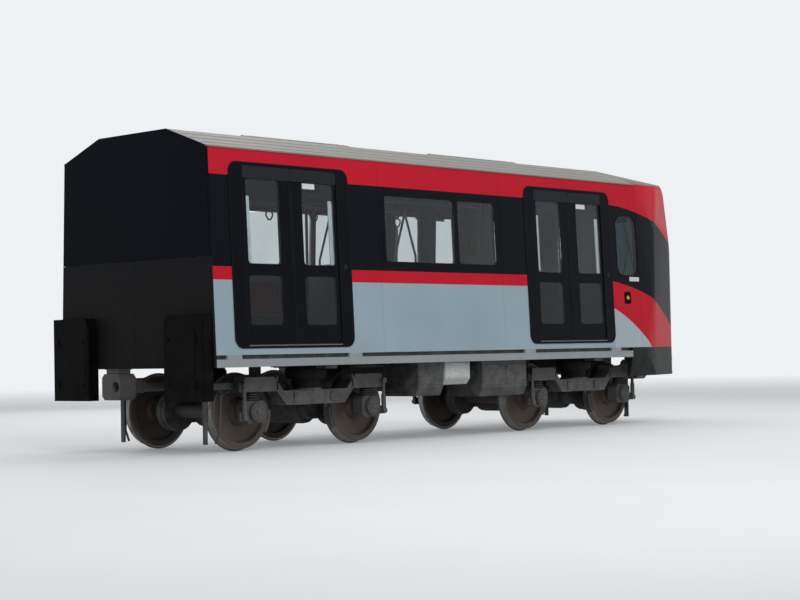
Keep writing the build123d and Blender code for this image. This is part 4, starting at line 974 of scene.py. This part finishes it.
coupler_steel = casting("coupler_casting", (0.045, 0.046, 0.048), 0.55, 0.35)
dress(coupler_steel, "coupler_front", "coupler_rear")
coupler_z = 0.778
for place, end in (("rear", -1), ("front", 1)):
    bm = bmesh.new()
    tip = end * 5.1
    lever_x, lever_z = tip - end * 0.13, coupler_z - 0.05
    for y in (-0.13, 0.13):
        for z in (coupler_z - 0.115, coupler_z + 0.115):
            pin(bm, (tip - end * 0.012, tip - end * 0.001), y, z, 0.013, sides=6)
    pin(bm, (tip - end * 0.02, tip - end * 0.002), -end * 0.085, coupler_z, 0.055, 0.045, sides=28)
    block(bm, tip - end * 0.20, tip - end * 0.02, -0.11, 0.11, coupler_z + 0.149, coupler_z + 0.195, 0.008)
    block(bm, tip - end * 0.21, tip - end * 0.012, -0.118, 0.118, coupler_z + 0.193, coupler_z + 0.203, 0.003)
    pin(bm, lever_x, (0.16, 0.205), lever_z, 0.02)
    rod(bm, (lever_x, 0.195, lever_z), (tip - end * 0.30, 0.200, coupler_z - 0.11), 0.011, sides=12)
    for back in (0.32, 0.42):
        pin(bm, (tip - end * back, tip - end * (back + 0.03)), 0, coupler_z, 0.078, sides=28)
    finish_piece(f"coupler_fittings_{place}", bm, coupler_steel, f"coupler_{place}")

# Wheelsets: rolled steel wheels pressed on forged axles. The treads are turned bright and the
# flanges dull, webs are brown, and the axles are primed grey.
bogies = (("rear", -1, -2.9), ("front", 1, 2.3))        # end of the car, place of the pivot
half_wheelbase, hub_z = 0.95, 0.458
wheel_steel, tree, shader = blank("wheel_steel")
spot = own_place(tree)
rise = calc("SUBTRACT", along(spot, "Z"), hub_z)
nearest = 1.0
for axle_x in [centre + end * half_wheelbase for _, _, centre in bogies for end in (-1, 1)]:
    nearest = calc("MINIMUM", nearest, calc("ABSOLUTE", calc("SUBTRACT", along(spot, "X"), axle_x)))
squares = calc("ADD", calc("MULTIPLY", nearest, nearest), calc("MULTIPLY", rise, rise))
from_hub = calc("SQRT", squares)
worn = calc("MULTIPLY", ranged(from_hub, 0.424, 0.429), ranged(from_hub, 0.433, 0.441, 1.0, 0.3))
surface_from(tree, shader, cast_skin, {"Color": mixed(worn, (0.075, 0.060, 0.050, 1), (0.27, 0.265, 0.26, 1)),
                                       "Roughness": ranged(worn, to_low=0.62, to_high=0.38),
                                       "Rust": ranged(worn, to_low=0.5, to_high=0.03)}, 0.4, 0.0006)
feed(shader.inputs, {"Metallic": worn})
bogie_paint = painted("bogie_grey", (0.036, 0.038, 0.042), 0.5, 0.55)
motor_paint = painted("motor_grey", (0.044, 0.047, 0.052), 0.5, 0.55)
for finish, node_kinds in ((wheel_steel, ("wheels_{}_1", "wheels_{}_2")), (bogie_paint, ("bogie_frame_{}",)),
                           (casting("axle_steel", (0.07, 0.068, 0.066), 0.6, 0.45), ("axle_{}_1", "axle_{}_2")),
                           (casting("axlebox_casting", (0.052, 0.053, 0.056), 0.6, 0.3), ("axleboxes_{}",)),
                           (rubber("spring_rubber", (0.014, 0.014, 0.014), 0.7), ("bogie_springs_{}",)),
                           (motor_paint, ("drives_{}",))):
    dress(finish, *(kind.format(place) for kind in node_kinds for place in ("rear", "front")))


# Bogie fittings: bolted bearing covers, rings of the rubber springs, dampers, brake shoes in their
# holders, finned motors, flanged gear cases and sand pipes, all carried by the bogie.
def bolts(bm, x, y, ring, count, size, length):
    """Hexagon bolt heads on a circle round a hub or motor, standing out along the car's width."""
    for step in range(count):
        angle = 2 * pi * (step + 0.5) / count
        pin(bm, x + cos(angle) * ring, (y, y + length), hub_z + sin(angle) * ring, size, sides=6)


def shoe(bm, hub, y0, y1, low, high, turn, half_angle):
    """Curved block on part of a circle round a wheel's axis."""
    start = Matrix.Rotation(-turn - half_angle, 4, "Y")
    verts = [bm.verts.new(Vector(hub) + start @ Vector((radius, 0, 0)) + Vector((0, y, 0)))
             for radius, y in ((low, y0), (high, y0), (high, y1), (low, y1))]
    bmesh.ops.spin(bm, geom=[bm.faces.new(verts)], cent=hub, axis=(0, 1, 0), dvec=(0, 0, 0), angle=2 * half_angle,
                   steps=8, use_merge=False, use_duplicate=False)


def corner(x, y, z):
    """Place at one corner of a bogie, measured out from its middle."""
    return (centre + end * x, hand * y, z)


def corner_pin(bm, x, y, z, radius, far_radius=None, sides=20):
    """Round bar at one corner of a bogie, along the axis that is given as a pair."""
    y = tuple(hand * reach for reach in y) if isinstance(y, tuple) else hand * y
    pin(bm, centre + end * x, y, z, radius, far_radius, sides)


def corner_block(bm, x0, x1, y0, y1, z0, z1, ease):
    """Block at one corner of a bogie."""
    block(bm, centre + end * x0, centre + end * x1, hand * y0, hand * y1, z0, z1, ease)


bogie_steel = casting("fitting_steel", (0.060, 0.060, 0.060), 0.55, 0.35)
for place, outer_end, centre in bogies:
    covers, frames, motors = bmesh.new(), bmesh.new(), bmesh.new()
    for end, hand in ((-1, -1), (-1, 1), (1, -1), (1, 1)):
        axle_x, damper_x = half_wheelbase, 1.145
        corner_pin(covers, axle_x, (1.100, 1.111), hub_z, 0.088, 0.082, sides=36)
        corner_pin(covers, axle_x, (1.110, 1.122), hub_z, 0.034, 0.028, sides=24)
        bolts(covers, centre + end * axle_x, hand * 1.110, 0.064, 6, 0.0085, hand * 0.009)
        for z, radius in ((0.606, 0.101), (0.634, 0.094), (0.662, 0.086)):
            corner_pin(covers, axle_x, 0.98, (z - 0.003, z + 0.003), radius, sides=32)
        corner_pin(covers, damper_x, 1.085, (0.42, 0.60), 0.030)
        corner_pin(covers, damper_x, 1.085, (0.59, 0.76), 0.022)
        for z in (0.40, 0.77):
            corner_pin(covers, damper_x, (1.03, 1.115), z, 0.034)
        corner_block(covers, damper_x - 0.05, damper_x + 0.05, 1.035, 1.062, 0.36, 0.46, 0.006)
        corner_block(frames, damper_x - 0.045, damper_x + 0.045, 1.03, 1.065, 0.70, 0.80, 0.006)
        inwards = pi if end > 0 else 0.0
        shoe(frames, (centre + end * axle_x, 0, hub_z), hand * 0.730, hand * 0.796, 0.437, 0.470,
             inwards + end * radians(16), radians(17))
        holder_x = centre + end * 0.475
        block(frames, holder_x - 0.02, holder_x + 0.014, hand * 0.735, hand * 0.791, 0.545, 0.635, 0.004)
        for z in (0.565, 0.655):
            corner_pin(frames, 0.425, (0.712, 0.808), z, 0.010, sides=12)
        corner_block(frames, 0.608, 0.632, 0.885, 1.075, 0.70, 0.866, 0.003)
        corner_block(frames, 0.24, 0.36, 1.074, 1.090, 0.55, 0.66, 0.004)
        if end == outer_end:
            corner_block(frames, 1.15, 1.45, 0.885, 0.925, 0.72, 0.80, 0.006)
            corner_block(frames, 1.438, 1.462, 0.70, 0.925, 0.72, 0.80, 0.004)
            corner_block(frames, 1.44, 1.46, 0.715, 0.785, 0.10, 0.725, 0.004)
            corner_block(frames, 1.405, 1.45, 0.745, 0.755, 0.30, 0.79, 0.003)
            pipe(covers, [corner(1.10, 0.862, 0.74), corner(1.30, 0.862, 0.66), corner(1.33, 0.862, 0.24),
                          corner(1.335, 0.79, 0.11)], 0.014)
            corner_block(covers, 1.29, 1.33, 0.842, 0.888, 0.69, 0.71, 0.003)
    for end in (-1, 1):
        axle_x, motor_x = centre + end * half_wheelbase, centre + end * 0.555
        for fin in range(9):
            y = end * (-0.24 + fin * 0.06)
            pin(motors, motor_x, (y - 0.006, y + 0.006), hub_z, 0.207, sides=48)
        block(motors, motor_x - 0.09, motor_x + 0.09, -0.11, 0.11, 0.60, 0.685, 0.010)
        bolts(motors, motor_x, end * 0.30, 0.165, 10, 0.010, end * 0.008)
        pin(motors, motor_x, (end * 0.299, end * 0.312), hub_z, 0.11, 0.10, sides=36)
        flange = -end * 0.375
        pin(motors, axle_x, (flange - 0.008, flange + 0.008), hub_z, 0.243, sides=56)
        bolts(motors, axle_x, flange - 0.012, 0.239, 14, 0.009, 0.024)
        pin(motors, axle_x, (flange - 0.05, flange + 0.05), 0.236, 0.016, sides=12)
    finish_piece(f"bearing_covers_{place}", covers, bogie_steel, f"bogie_{place}", smooth=True)
    finish_piece(f"bogie_fittings_{place}", frames, bogie_paint, f"bogie_{place}")
    finish_piece(f"motor_fittings_{place}", motors, motor_paint, f"bogie_{place}", smooth=True)
